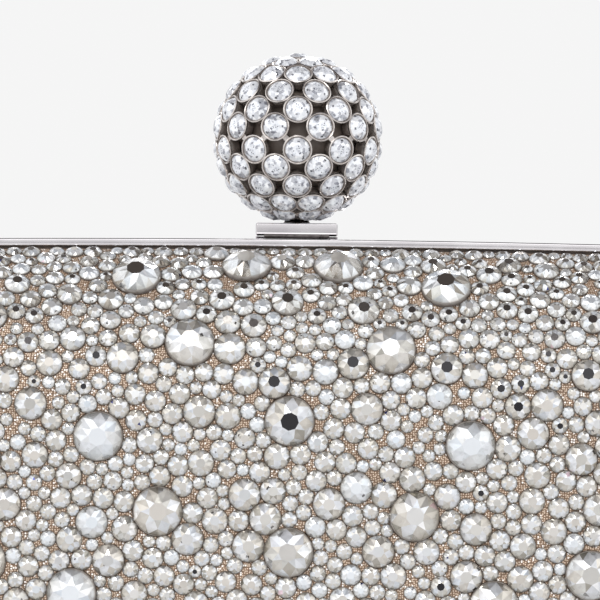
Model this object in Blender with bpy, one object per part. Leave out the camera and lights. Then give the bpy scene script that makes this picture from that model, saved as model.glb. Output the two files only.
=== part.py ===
"""Hard box clutch bag: two pillow-shaped half shells in a polished metal frame, hinged along the bottom,
covered in fabric set with crystals, and closed by a spring clasp that carries an openwork crystal ball.

Metres, +Z up. The front faces -Y, the halves part at y = 0, and z = 0 is the flat bottom of the frame.
A point of the case is found from its inset, measured in from the frame's outline, and its depth from y = 0.
"""

import math

import bmesh
import bpy
from mathutils import Matrix, Vector

# Case outline
CASE_WIDTH = 0.178
CASE_HEIGHT = 0.102
CORNER_RADIUS = 0.012
TOP_CROWN = 0.001
PARTING_GAP = 0.0003

# Pillow-shaped wall: the fabric follows an arc that leaves the frame steeply and ends in a flat panel
PILLOW_RADIUS = 0.030
PILLOW_TILT = math.radians(66)
PANEL_CORNER_RADIUS = 0.017
WALL_STEPS = 4
CORNER_STEPS = 4
CREVICE = 0.0006
LAYER_GAP = 0.0002

# Frame
FRAME_DEPTH = 0.0042
LIP_HEIGHT = 0.0013
LIP_BEVEL = 0.00025
FLANGE_REACH = 0.0034
FLANGE_THICKNESS = 0.00105

# Layers of each half, from the outside in
CRYSTAL_BED = 0.0007
FABRIC_THICKNESS = 0.0004
SHELL_THICKNESS = 0.0012
LINING_THICKNESS = 0.0006

# Large and medium cut stones that stand out of the crystal bed
STONE_RADIUS = 0.0043
STONE_TABLE_RADIUS = 0.0020
STONE_HEIGHT = 0.0027
STONE_SIDES = 8
MEDIUM_STONE_RADIUS = 0.0028
MEDIUM_STONE_TABLE_RADIUS = 0.0013
MEDIUM_STONE_HEIGHT = 0.0017
MEDIUM_STONE_SIDES = 6
STONE_ROOT_HEIGHT = 0.0002

# Hinges
HINGE_END_DISTANCE = 0.034
HINGE_LENGTH = 0.016
HINGE_KNUCKLE_LENGTH = 0.0070
HINGE_KNUCKLE_RADIUS = 0.00105
HINGE_PIN_RADIUS = 0.0005
HINGE_LEAF_THICKNESS = 0.0005
HINGE_LEAF_HEIGHT = 0.0024
HINGE_GAP = 0.0002
RUNNING_GAP = 0.00008

# Clasp: a bracket on the rear frame carries the lever, whose hook drops in front of the keeper
CLASP_WIDTH = 0.0147
CLASP_PLATE_INSET = 0.0003
BRACKET_THICKNESS = 0.00025
KEEPER_THICKNESS = 0.00037
KEEPER_SLOPE_HEIGHT = 0.00034
KEEPER_SLOPE_LENGTH = 0.0006
LEVER_THICKNESS = 0.0023
LEVER_FRONT_OVERHANG = 0.0001
LEVER_LIFT = 0.00025
LEVER_BEVEL = 0.00035
PIVOT_DEPTH = 0.0028
PIVOT_RISE = 0.0010
EAR_RADIUS = 0.0009
EAR_THICKNESS = 0.0012
EARS_WIDTH = 0.0117
EAR_CLEARANCE = 0.00035
CLASP_PIN_RADIUS = 0.0005
HOOK_WIDTH = 0.0117
HOOK_THICKNESS = 0.0007
HOOK_SETBACK = 0.00015
HOOK_ROOT = 0.0008
HOOK_TIP_THICKNESS = 0.00035
HOOK_TIP_GAP = 0.00018
HOOK_CLEARANCE = 0.00015
RIVET_SPACING = 0.0126
RIVET_RADIUS = 0.0005

# Torsion spring on the clasp's pin
SPRING_WIRE_RADIUS = 0.00015
SPRING_COIL_RADIUS = 0.0008
SPRING_PITCH = 0.00055
SPRING_TURNS = 5
SPRING_TURN_POINTS = 8
SPRING_LEG = 0.0007

# Crystal ball: a lattice of cups round a dark core
BALL_RADIUS = 0.0153
BALL_LIFT = 0.0002
BALL_SET_FORWARD = 0.0003
BALL_STONE_RISE = 0.0006
CUP_HEIGHT = 0.0014
CUP_GAP = 0.00025
CUP_SIDES = 8
CUP_ROOT_SHARE = 0.78
BALL_TABLE_SHARE = 0.47
CAGE_THICKNESS = 0.0008
CORE_ROOM = 0.0006
COLLAR_FOOT_RADIUS = 0.0024
COLLAR_TOP_RADIUS = 0.0016
BALL_SCREW_RADIUS = 0.0009
BALL_SCREW_HEAD_RADIUS = 0.0014
BALL_SCREW_HEAD_HEIGHT = 0.0006
BALL_INSERT_RADIUS = 0.0019
BALL_INSERT_LENGTH = 0.0045

OVERRUN = 0.001

# The ball's lattice: cups in each row, the rows' latitudes above the equator, and the rows round the poles
ROW_CUPS = 11
ROW_LATITUDES = (8, 20.5, 34.5, 51.5)
POLAR_CUPS = 7
POLAR_LATITUDE = 68.5
POLAR_CAP_LATITUDE = 78

# Where neighbouring cups join, as a share of the way from one cup's centre to the next
JOIN_SHARES = (0.4, 0.6)

# Places of the large and medium stones, as shares of half the case's width and of half its height
LARGE_STONE_SHARES = (
    (-0.32, 0.88), (-0.10, 0.92), (0.085, 0.92), (0.30, 0.85), (-0.21, 0.65), (0.19, 0.63),
    (-0.01, 0.38), (-0.39, 0.32), (0.35, 0.30), (-0.27, 0.06), (0.24, 0.05), (-0.01, -0.08),
    (-0.44, -0.23), (0.40, -0.26), (0.59, -0.15), (-0.62, -0.12), (-0.74, 0.90), (-0.90, 0.70),
    (-0.72, 0.47), (-0.88, 0.20), (-0.92, -0.22), (-0.71, -0.60), (0.72, 0.84), (0.87, 0.66),
    (0.72, 0.45), (0.83, 0.14), (0.73, -0.39), (0.90, -0.25), (-0.51, -0.73), (-0.29, -0.46),
    (-0.10, -0.73), (0.10, -0.48), (0.30, -0.73), (0.52, -0.57), (-0.87, -0.76), (0.86, -0.73),
)
MEDIUM_STONE_SHARES = (
    (-0.34, 0.60), (-0.50, 0.41), (-0.17, 0.43), (0.11, 0.58), (0.31, 0.58), (0.14, 0.42), (0.47, 0.40),
    (-0.40, 0.00), (-0.07, 0.13), (-0.58, 0.08), (0.04, 0.12), (0.16, -0.02), (0.36, -0.03), (0.60, 0.08),
    (-0.62, 0.74), (-0.74, 0.20), (-0.79, -0.02), (-0.80, -0.36), (-0.57, -0.42), (-0.63, -0.83),
    (-0.37, -0.66), (-0.01, -0.52), (0.20, -0.64), (-0.22, -0.90), (0.19, -0.90), (0.62, -0.33),
    (0.94, -0.52), (0.60, 0.57), (0.95, 0.40), (0.66, 0.24), (0.74, -0.08), (0.00, 0.77),
)

# What follows from the sizes above
PARTING_FACE = PARTING_GAP / 2
FLANGE_FACE = PARTING_FACE + FLANGE_THICKNESS
RIM_DEPTH = FLANGE_FACE + LAYER_GAP
EDGE_INSET = LIP_HEIGHT + CREVICE
PANEL_INSET = EDGE_INSET + PILLOW_RADIUS * math.sin(PILLOW_TILT)
PANEL_DEPTH = FRAME_DEPTH + PILLOW_RADIUS * (1 - math.cos(PILLOW_TILT))
HALF_WIDTH = CASE_WIDTH / 2
HALF_HEIGHT = (CASE_HEIGHT - TOP_CROWN) / 2
SHELL_OFFSET = -(FABRIC_THICKNESS + LAYER_GAP)
LINING_OFFSET = SHELL_OFFSET - SHELL_THICKNESS - LAYER_GAP
HINGE_AXIS_HEIGHT = LIP_HEIGHT
CLASP_SEAT = CASE_HEIGHT + RUNNING_GAP
BRACKET_TOP = CLASP_SEAT + BRACKET_THICKNESS
KEEPER_TOP = CLASP_SEAT + KEEPER_THICKNESS
LEVER_BOTTOM = BRACKET_TOP + LEVER_LIFT
LEVER_TOP = LEVER_BOTTOM + LEVER_THICKNESS
HOOK_FRONT = FRAME_DEPTH + LEVER_FRONT_OVERHANG - HOOK_SETBACK
HOOK_BACK = HOOK_FRONT - HOOK_THICKNESS
PIVOT_HEIGHT = LEVER_BOTTOM + PIVOT_RISE
CAGE_RADIUS = BALL_RADIUS - BALL_STONE_RISE - CUP_HEIGHT
BALL_CENTRE = Vector((0, -BALL_SET_FORWARD, LEVER_TOP + BALL_LIFT + BALL_RADIUS))


def clear_scene():
    for obj in list(bpy.data.objects):
        bpy.data.objects.remove(obj)


def finish_material(name, colour, roughness, metallic):
    """A Principled finish for one kind of piece."""
    material = bpy.data.materials.get(name) or bpy.data.materials.new(name)
    material.use_nodes = True
    shader = material.node_tree.nodes["Principled BSDF"]
    shader.inputs["Base Color"].default_value = (*colour, 1)
    shader.inputs["Roughness"].default_value = roughness
    shader.inputs["Metallic"].default_value = metallic
    return material


def polished_metal():
    return finish_material("polished_nickel", (0.62, 0.60, 0.60), 0.16, 1.0)


def dark_metal():
    return finish_material("dark_nickel", (0.30, 0.28, 0.27), 0.28, 1.0)


def crystal():
    return finish_material("crystal", (0.80, 0.79, 0.77), 0.08, 0.25)


def shell_plastic():
    return finish_material("shell_plastic", (0.25, 0.22, 0.19), 0.5, 0.0)


def dark_resin():
    return finish_material("dark_resin", (0.045, 0.036, 0.032), 0.45, 0.0)


def brass():
    return finish_material("brass", (0.70, 0.52, 0.26), 0.3, 1.0)


def lining_satin():
    return finish_material("lining_satin", (0.62, 0.50, 0.40), 0.55, 0.0)


def object_from(mesh_data, name, material):
    """Turns a bmesh into a named object with outward faces, flat panels and smooth rounds."""
    bmesh.ops.recalc_face_normals(mesh_data, faces=mesh_data.faces)
    mesh = bpy.data.meshes.new(name)
    mesh_data.to_mesh(mesh)
    mesh_data.free()
    mesh.shade_smooth()
    mesh.set_sharp_from_angle(angle=math.radians(28))
    obj = bpy.data.objects.new(name, mesh)
    obj.data.materials.append(material)
    bpy.context.scene.collection.objects.link(obj)
    return obj


def add_loops(mesh_data, loops, closed=False):
    """Bridges equal loops of points in order; the two ends are capped unless the chain is closed."""
    rings = [[mesh_data.verts.new(point) for point in loop] for loop in loops]
    pairs = list(zip(rings, rings[1:]))
    if closed:
        pairs.append((rings[-1], rings[0]))
    for first, second in pairs:
        for i in range(len(first)):
            j = (i + 1) % len(first)
            mesh_data.faces.new((first[i], first[j], second[j], second[i]))
    if not closed:
        mesh_data.faces.new(rings[0])
        mesh_data.faces.new(rings[-1])


def add_box(mesh_data, low, high):
    low, high = Vector(low), Vector(high)
    place = Matrix.Translation((low + high) / 2) @ Matrix.Diagonal((*(high - low), 1))
    return bmesh.ops.create_cube(mesh_data, size=1, matrix=place)["verts"]


def add_rod(mesh_data, start, end, radius, sides=16):
    """A closed cylinder from one point to another."""
    start, end = Vector(start), Vector(end)
    turn = (end - start).to_track_quat("Z", "Y").to_matrix().to_4x4()
    place = Matrix.Translation((start + end) / 2) @ turn
    bmesh.ops.create_cone(
        mesh_data, segments=sides, radius1=radius, radius2=radius,
        depth=(end - start).length, cap_ends=True, matrix=place,
    )


def combine(obj, mesh_data, operation, helper_name):
    """Cuts or joins the bmesh's closed shapes into the object with a Boolean."""
    helper = object_from(mesh_data, helper_name, obj.data.materials[0])
    helper.hide_render = True
    helper.display_type = "WIRE"
    modifier = obj.modifiers.new(helper_name, "BOOLEAN")
    modifier.operation = operation
    modifier.solver = "EXACT"
    modifier.object = helper


def corner_radius(inset):
    """The corner's radius on the outline drawn in by inset.

    Across the frame the corners shrink as a true offset. Over the pillow they open out to the panel's.
    """
    edge_radius = CORNER_RADIUS - min(inset, EDGE_INSET)
    panel_radius = min(PANEL_CORNER_RADIUS, HALF_HEIGHT - PANEL_INSET)
    share = max(0.0, inset - EDGE_INSET) / (PANEL_INSET - EDGE_INSET)
    return edge_radius + (panel_radius - edge_radius) * share


def outline(inset):
    """Points (x, z) of the case's outline drawn in by inset, with the frame's crowned top."""
    radius = corner_radius(inset)
    half_width = HALF_WIDTH - inset
    half_height = HALF_HEIGHT - inset
    corner_x = half_width - radius
    corner_z = half_height - radius
    points = []
    for quarter, (side_x, side_z) in enumerate(((1, 1), (-1, 1), (-1, -1), (1, -1))):
        for step in range(CORNER_STEPS + 1):
            angle = math.radians(90 * (quarter + step / CORNER_STEPS))
            points.append(
                (side_x * corner_x + radius * math.cos(angle), side_z * corner_z + radius * math.sin(angle))
            )
        if quarter == 0:
            points += [(corner_x * share_x, half_height) for share_x in (0.5, 0.0, -0.5)]
        if quarter == 2:
            points.append((0.0, -half_height))
    return [(x, HALF_HEIGHT + z + crown_rise(x, z)) for x, z in points]


def crown_rise(x, z):
    """How far the slightly arched top lifts a point that lies above the case's middle."""
    return TOP_CROWN * (1 - (x / HALF_WIDTH) ** 2) * max(0.0, z / HALF_HEIGHT)


def outline_loop(inset, depth, side):
    return [Vector((x, side * depth, z)) for x, z in outline(inset)]


def wall_profile(offset, from_tilt=PILLOW_TILT):
    """(inset, depth) along the pillow's arc, for a layer this far outside the fabric's surface."""
    radius = PILLOW_RADIUS + offset
    points = []
    for step in range(WALL_STEPS + 1):
        tilt = from_tilt * (1 - step / WALL_STEPS)
        points.append(
            (PANEL_INSET - radius * math.sin(tilt), PANEL_DEPTH - PILLOW_RADIUS + radius * math.cos(tilt))
        )
    return points


def tray(name, offset, thickness, side, material, bed=0.0):
    """One layer of a half: an open tray that follows the pillow, with its rim behind the frame's flange."""
    outer = [(EDGE_INSET - offset, RIM_DEPTH)]
    if bed:
        outer.append((EDGE_INSET - offset, FRAME_DEPTH))
        outer += wall_profile(offset + bed, bed_start_tilt())
    else:
        outer += wall_profile(offset)
    inner = [(EDGE_INSET - offset + thickness, RIM_DEPTH)] + wall_profile(offset - thickness)
    mesh_data = bmesh.new()
    chain = list(reversed(inner)) + outer
    add_loops(mesh_data, [outline_loop(inset, depth, side) for inset, depth in chain])
    return object_from(mesh_data, name, material)


def bed_start_tilt():
    """The tilt at which the crystal bed's top comes level with the front of the frame."""
    return PILLOW_TILT * (1 - CRYSTAL_BED / (2 * PILLOW_RADIUS * math.sin(PILLOW_TILT)))


def frame_half(name, side):
    """A polished frame ring of L section: the lip outside, and a flange that closes the shell's rim."""
    profile = (
        (LIP_BEVEL, PARTING_FACE),
        (0, PARTING_FACE + LIP_BEVEL),
        (0, FRAME_DEPTH - LIP_BEVEL),
        (LIP_BEVEL, FRAME_DEPTH),
        (LIP_HEIGHT - LIP_BEVEL, FRAME_DEPTH),
        (LIP_HEIGHT, FRAME_DEPTH - LIP_BEVEL),
        (LIP_HEIGHT, FLANGE_FACE),
        (LIP_HEIGHT + FLANGE_REACH, FLANGE_FACE),
        (LIP_HEIGHT + FLANGE_REACH, PARTING_FACE),
    )
    mesh_data = bmesh.new()
    add_loops(mesh_data, [outline_loop(inset, depth, side) for inset, depth in profile], closed=True)
    frame = object_from(mesh_data, name, polished_metal())
    cut_hinge_seats(frame)
    cut_rivet_holes(frame, side)
    return frame


def cut_hinge_seats(frame):
    """The groove under the parting line that lets the case open, and the seats of the two hinges."""
    mesh_data = bmesh.new()
    reach = HINGE_AXIS_HEIGHT + OVERRUN
    ends = (-HALF_WIDTH - OVERRUN, HALF_WIDTH + OVERRUN)
    wedge = [
        [
            Vector((x, -PARTING_FACE - reach, HINGE_AXIS_HEIGHT - reach)),
            Vector((x, PARTING_FACE + reach, HINGE_AXIS_HEIGHT - reach)),
            Vector((x, PARTING_FACE, HINGE_AXIS_HEIGHT)),
            Vector((x, -PARTING_FACE, HINGE_AXIS_HEIGHT)),
        ]
        for x in ends
    ]
    add_loops(mesh_data, wedge)
    combine(frame, mesh_data, "DIFFERENCE", frame.name + "_groove_cutter")
    mesh_data = bmesh.new()
    for centre in hinge_centres():
        half = HINGE_LENGTH / 2 + HINGE_GAP
        depth = HINGE_KNUCKLE_RADIUS + HINGE_GAP
        top = HINGE_AXIS_HEIGHT + depth
        add_box(mesh_data, (centre - half, -depth, -OVERRUN), (centre + half, depth, top))
    combine(frame, mesh_data, "DIFFERENCE", frame.name + "_knuckle_cutter")
    mesh_data = bmesh.new()
    for centre in hinge_centres():
        half = HINGE_LENGTH / 2 + HINGE_GAP
        depth = PARTING_FACE + HINGE_LEAF_THICKNESS + HINGE_GAP
        top = HINGE_AXIS_HEIGHT + HINGE_KNUCKLE_RADIUS + HINGE_LEAF_HEIGHT + HINGE_GAP
        add_box(mesh_data, (centre - half, -depth, HINGE_AXIS_HEIGHT), (centre + half, depth, top))
    combine(frame, mesh_data, "DIFFERENCE", frame.name + "_leaf_cutter")


def rivet_depth(side):
    return side * (PARTING_FACE + FRAME_DEPTH) / 2


def rivet_places():
    return (("left", -RIVET_SPACING / 2), ("right", RIVET_SPACING / 2))


def cut_rivet_holes(obj, side):
    """Two holes down through the top of the frame and the clasp plate that it carries."""
    mesh_data = bmesh.new()
    for _, x in rivet_places():
        y = rivet_depth(side)
        foot = CASE_HEIGHT - LIP_HEIGHT - OVERRUN
        add_rod(mesh_data, (x, y, foot), (x, y, CASE_HEIGHT + OVERRUN), RIVET_RADIUS + RUNNING_GAP, 12)
    combine(obj, mesh_data, "DIFFERENCE", obj.name + "_rivet_cutter")


def rivet(name, x, side, top):
    mesh_data = bmesh.new()
    y = rivet_depth(side)
    add_rod(mesh_data, (x, y, CASE_HEIGHT - LIP_HEIGHT), (x, y, top), RIVET_RADIUS, 12)
    return object_from(mesh_data, name, polished_metal())


def inset_at(x, z):
    """The inset of the outline that runs through a point of the front view, found by halving."""
    low, high = EDGE_INSET, PANEL_INSET
    z_flat = z - HALF_HEIGHT
    z_flat -= crown_rise(x, z_flat)
    for _ in range(40):
        inset = (low + high) / 2
        radius = corner_radius(inset)
        over_x = abs(x) - (HALF_WIDTH - inset - radius)
        over_z = abs(z_flat) - (HALF_HEIGHT - inset - radius)
        outside = math.hypot(max(over_x, 0), max(over_z, 0)) + min(max(over_x, over_z), 0) - radius
        if outside > 0:
            high = inset
        else:
            low = inset
    return (low + high) / 2


def fabric_depth(x, z):
    across = min(PANEL_INSET - inset_at(x, z), PILLOW_RADIUS * math.sin(PILLOW_TILT))
    return PANEL_DEPTH - PILLOW_RADIUS + math.sqrt(PILLOW_RADIUS**2 - across**2)


def fabric_seat(x, z, side):
    """A frame on the fabric's surface at a point of the front view: local +Z is the outward normal."""
    step = STONE_TABLE_RADIUS / 4
    slope_x = (fabric_depth(x + step, z) - fabric_depth(x - step, z)) / (2 * step)
    slope_z = (fabric_depth(x, z + step) - fabric_depth(x, z - step)) / (2 * step)
    normal = Vector((-slope_x, side, -slope_z)).normalized()
    place = Vector((x, side * fabric_depth(x, z), z))
    return Matrix.Translation(place) @ normal.to_track_quat("Z", "Y").to_matrix().to_4x4()


def round_point(place, radius, angle, height):
    return place @ Vector((radius * math.cos(angle), radius * math.sin(angle), height))


def cut_stone_loops(place, radii_and_heights, sides):
    """Loops of a turned, faceted shape whose axis is the place's local Z."""
    angles = [2 * math.pi * i / sides for i in range(sides)]
    return [
        [round_point(place, radius, angle, height) for angle in angles]
        for radius, height in radii_and_heights
    ]


def crystal_cover(name, side):
    """The fabric cover with its crystal bed, and the larger stones standing out of it."""
    cover = tray(name, 0, FABRIC_THICKNESS, side, crystal(), CRYSTAL_BED)
    large = ((STONE_RADIUS, STONE_ROOT_HEIGHT), (STONE_TABLE_RADIUS, STONE_HEIGHT))
    medium = ((MEDIUM_STONE_RADIUS, STONE_ROOT_HEIGHT), (MEDIUM_STONE_TABLE_RADIUS, MEDIUM_STONE_HEIGHT))
    kinds = ((LARGE_STONE_SHARES, large, STONE_SIDES), (MEDIUM_STONE_SHARES, medium, MEDIUM_STONE_SIDES))
    mesh_data = bmesh.new()
    for shares, shape, sides in kinds:
        for share_x, share_z in shares:
            place = fabric_seat(side * -share_x * HALF_WIDTH, HALF_HEIGHT * (1 + share_z), side)
            add_loops(mesh_data, cut_stone_loops(place, shape, sides))
    combine(cover, mesh_data, "UNION", name + "_stones")
    return cover


def hinge_centres():
    return (HINGE_END_DISTANCE - HALF_WIDTH, HALF_WIDTH - HINGE_END_DISTANCE)


def knuckle_spans(centre, middle):
    """The stretches of a hinge's axis held by the leaf with the middle knuckle, or by its mate."""
    half_middle = HINGE_KNUCKLE_LENGTH / 2
    half = HINGE_LENGTH / 2
    if middle:
        return ((centre - half_middle, centre + half_middle),)
    inner = half_middle + HINGE_GAP
    return ((centre - half, centre - inner), (centre + inner, centre + half))


def hinge_leaf(name, centre, side, middle):
    """A leaf let into the flange, with its knuckles round the pin."""
    near = side * PARTING_FACE
    far = side * (PARTING_FACE + HINGE_LEAF_THICKNESS)
    plate_foot = HINGE_AXIS_HEIGHT + HINGE_KNUCKLE_RADIUS + HINGE_GAP
    plate_top = HINGE_AXIS_HEIGHT + HINGE_KNUCKLE_RADIUS + HINGE_LEAF_HEIGHT
    half = HINGE_LENGTH / 2
    mesh_data = bmesh.new()
    add_box(mesh_data, (centre - half, min(near, far), plate_foot), (centre + half, max(near, far), plate_top))
    leaf = object_from(mesh_data, name, polished_metal())
    mesh_data = bmesh.new()
    for start, end in knuckle_spans(centre, middle):
        neck_top = plate_foot + (plate_top - plate_foot) / 2
        add_box(mesh_data, (start, min(near, far), HINGE_AXIS_HEIGHT), (end, max(near, far), neck_top))
    combine(leaf, mesh_data, "UNION", name + "_necks")
    mesh_data = bmesh.new()
    for start, end in knuckle_spans(centre, middle):
        axis_start = (start, 0, HINGE_AXIS_HEIGHT)
        add_rod(mesh_data, axis_start, (end, 0, HINGE_AXIS_HEIGHT), HINGE_KNUCKLE_RADIUS)
    combine(leaf, mesh_data, "UNION", name + "_knuckles")
    mesh_data = bmesh.new()
    reach = half + OVERRUN
    bore = HINGE_PIN_RADIUS + RUNNING_GAP
    axis_start = (centre - reach, 0, HINGE_AXIS_HEIGHT)
    add_rod(mesh_data, axis_start, (centre + reach, 0, HINGE_AXIS_HEIGHT), bore, 12)
    combine(leaf, mesh_data, "DIFFERENCE", name + "_bore")
    return leaf


def hinge_pin(name, centre):
    mesh_data = bmesh.new()
    half = HINGE_LENGTH / 2
    axis_start = (centre - half, 0, HINGE_AXIS_HEIGHT)
    add_rod(mesh_data, axis_start, (centre + half, 0, HINGE_AXIS_HEIGHT), HINGE_PIN_RADIUS, 12)
    return object_from(mesh_data, name, dark_metal())


def clasp_bracket():
    """The plate riveted to the rear frame, with two ears that hold the clasp's pin."""
    near = PARTING_FACE + CLASP_PLATE_INSET
    far = FRAME_DEPTH - CLASP_PLATE_INSET
    half = CLASP_WIDTH / 2
    mesh_data = bmesh.new()
    add_box(mesh_data, (-half, near, CLASP_SEAT), (half, far, BRACKET_TOP))
    bracket = object_from(mesh_data, "clasp_bracket", polished_metal())
    foot = BRACKET_TOP - BRACKET_THICKNESS / 2
    for word, inner in (("left", -EARS_WIDTH / 2), ("right", EARS_WIDTH / 2 - EAR_THICKNESS)):
        outer = inner + EAR_THICKNESS
        mesh_data = bmesh.new()
        low = (inner, PIVOT_DEPTH - EAR_RADIUS, foot)
        add_box(mesh_data, low, (outer, PIVOT_DEPTH + EAR_RADIUS, PIVOT_HEIGHT))
        combine(bracket, mesh_data, "UNION", "clasp_ear_" + word)
        mesh_data = bmesh.new()
        start, end = (inner, PIVOT_DEPTH, PIVOT_HEIGHT), (outer, PIVOT_DEPTH, PIVOT_HEIGHT)
        add_rod(mesh_data, start, end, EAR_RADIUS)
        combine(bracket, mesh_data, "UNION", "clasp_ear_round_" + word)
    cut_pivot_bore(bracket, EARS_WIDTH / 2 + OVERRUN)
    cut_rivet_holes(bracket, 1)
    return bracket


def cut_pivot_bore(obj, reach):
    mesh_data = bmesh.new()
    bore = CLASP_PIN_RADIUS + RUNNING_GAP
    add_rod(mesh_data, (-reach, PIVOT_DEPTH, PIVOT_HEIGHT), (reach, PIVOT_DEPTH, PIVOT_HEIGHT), bore, 12)
    combine(obj, mesh_data, "DIFFERENCE", obj.name + "_pivot_cutter")


def clasp_pin():
    half = EARS_WIDTH / 2
    mesh_data = bmesh.new()
    axis_start = (-half, PIVOT_DEPTH, PIVOT_HEIGHT)
    add_rod(mesh_data, axis_start, (half, PIVOT_DEPTH, PIVOT_HEIGHT), CLASP_PIN_RADIUS, 12)
    return object_from(mesh_data, "clasp_pin", dark_metal())


def add_bar(mesh_data, section, half_width):
    """A bar across the case with this section of (y, z) points."""
    add_loops(mesh_data, [[Vector((x, y, z)) for y, z in section] for x in (-half_width, half_width)])


def clasp_keeper():
    """The plate riveted to the front frame. The hook holds its front edge, which slopes to lift the hook."""
    back = -PARTING_FACE - CLASP_PLATE_INSET
    front = HOOK_CLEARANCE - HOOK_BACK
    section = (
        (back, CLASP_SEAT),
        (back, KEEPER_TOP),
        (front + KEEPER_SLOPE_LENGTH, KEEPER_TOP),
        (front, KEEPER_TOP - KEEPER_SLOPE_HEIGHT),
        (front, CLASP_SEAT),
    )
    mesh_data = bmesh.new()
    add_bar(mesh_data, section, CLASP_WIDTH / 2)
    keeper = object_from(mesh_data, "clasp_keeper", polished_metal())
    cut_rivet_holes(keeper, -1)
    return keeper


def clasp_hook():
    """The steel blade let into the lever's underside. Its slope rides up over the keeper as the case shuts."""
    tip = CASE_HEIGHT + HOOK_TIP_GAP
    section = (
        (-HOOK_BACK, LEVER_BOTTOM + HOOK_ROOT),
        (-HOOK_BACK, tip),
        (-HOOK_BACK - HOOK_TIP_THICKNESS, tip),
        (-HOOK_FRONT, tip + HOOK_THICKNESS - HOOK_TIP_THICKNESS),
        (-HOOK_FRONT, LEVER_BOTTOM + HOOK_ROOT),
    )
    mesh_data = bmesh.new()
    add_bar(mesh_data, section, HOOK_WIDTH / 2)
    return object_from(mesh_data, "clasp_hook", dark_metal())


def clasp_lever():
    """The bar under the ball: it turns on the pin and carries the hook."""
    front = -FRAME_DEPTH - LEVER_FRONT_OVERHANG
    half = CLASP_WIDTH / 2
    mesh_data = bmesh.new()
    add_box(mesh_data, (-half, front, LEVER_BOTTOM), (half, FRAME_DEPTH, LEVER_TOP))
    bmesh.ops.bevel(mesh_data, geom=mesh_data.edges[:], offset=LEVER_BEVEL, segments=1, affect="EDGES")
    lever = object_from(mesh_data, "clasp_lever", polished_metal())
    below = LEVER_BOTTOM - OVERRUN
    cut_lever_slots(lever, below)
    cut_pivot_bore(lever, EARS_WIDTH / 2)
    y = BALL_CENTRE.y
    hole = BALL_SCREW_RADIUS + RUNNING_GAP
    mesh_data = bmesh.new()
    add_rod(mesh_data, (0, y, below), (0, y, LEVER_TOP + OVERRUN), hole, 12)
    combine(lever, mesh_data, "DIFFERENCE", "clasp_screw_hole")
    head = BALL_SCREW_HEAD_RADIUS + RUNNING_GAP
    sink = LEVER_BOTTOM + BALL_SCREW_HEAD_HEIGHT + 2 * RUNNING_GAP
    mesh_data = bmesh.new()
    add_rod(mesh_data, (0, y, below), (0, y, sink), head)
    combine(lever, mesh_data, "DIFFERENCE", "clasp_screw_sink")
    return lever


def cut_lever_slots(lever, below):
    """Room in the lever's underside for the hook's root, the bracket's ears and the spring."""
    mesh_data = bmesh.new()
    half_hook = HOOK_WIDTH / 2 + RUNNING_GAP
    top = LEVER_BOTTOM + HOOK_ROOT + RUNNING_GAP
    low = (-half_hook, -HOOK_FRONT - RUNNING_GAP, below)
    add_box(mesh_data, low, (half_hook, -HOOK_BACK + RUNNING_GAP, top))
    combine(lever, mesh_data, "DIFFERENCE", "clasp_hook_slot")
    ear_outer = EARS_WIDTH / 2 + HINGE_GAP
    ear_inner = EARS_WIDTH / 2 - EAR_THICKNESS - HINGE_GAP
    slot_front = PIVOT_DEPTH - EAR_RADIUS - EAR_CLEARANCE
    top = PIVOT_HEIGHT + EAR_RADIUS + RUNNING_GAP
    mesh_data = bmesh.new()
    for low_x, high_x in ((-ear_outer, -ear_inner), (ear_inner, ear_outer)):
        add_box(mesh_data, (low_x, slot_front, below), (high_x, FRAME_DEPTH + OVERRUN, top))
    combine(lever, mesh_data, "DIFFERENCE", "clasp_ear_slots")
    half_spring = spring_half_length() + HINGE_GAP
    room = SPRING_COIL_RADIUS + SPRING_WIRE_RADIUS + RUNNING_GAP
    reach = room + HINGE_GAP
    mesh_data = bmesh.new()
    low = (-half_spring, PIVOT_DEPTH - reach, below)
    add_box(mesh_data, low, (half_spring, PIVOT_DEPTH + reach, PIVOT_HEIGHT + room))
    combine(lever, mesh_data, "DIFFERENCE", "clasp_spring_pocket")


def spring_half_length():
    return SPRING_TURNS * SPRING_PITCH / 2 + SPRING_WIRE_RADIUS


def clasp_spring():
    """A torsion spring wound round the clasp's pin, with a leg at each end."""
    steps = SPRING_TURNS * SPRING_TURN_POINTS
    points = []
    for step in range(steps + 1):
        angle = 2 * math.pi * step / SPRING_TURN_POINTS - math.pi / 2
        x = SPRING_PITCH * (step / SPRING_TURN_POINTS - SPRING_TURNS / 2)
        y = PIVOT_DEPTH + SPRING_COIL_RADIUS * math.cos(angle)
        points.append(Vector((x, y, PIVOT_HEIGHT + SPRING_COIL_RADIUS * math.sin(angle))))
    first, last = points[0].copy(), points[-1].copy()
    first.y -= SPRING_LEG
    last.y += SPRING_LEG
    curve = bpy.data.curves.new("clasp_spring", "CURVE")
    curve.dimensions = "3D"
    curve.bevel_depth = SPRING_WIRE_RADIUS
    curve.bevel_resolution = 0
    curve.use_fill_caps = True
    spline = curve.splines.new("POLY")
    spline.points.add(len(points) - 1)
    for spline_point, point in zip(spline.points, points):
        spline_point.co = (*point, 1)
    spring = bpy.data.objects.new("clasp_spring", curve)
    spring.data.materials.append(dark_metal())
    bpy.context.scene.collection.objects.link(spring)
    return spring


def ball_place(latitude, longitude):
    """A frame at the ball's centre whose local +Z points out at this latitude and longitude from the front."""
    direction = Vector(
        (
            math.cos(latitude) * math.sin(longitude),
            -math.cos(latitude) * math.cos(longitude),
            math.sin(latitude),
        )
    )
    return Matrix.Translation(BALL_CENTRE) @ direction.to_track_quat("Z", "Y").to_matrix().to_4x4()


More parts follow.
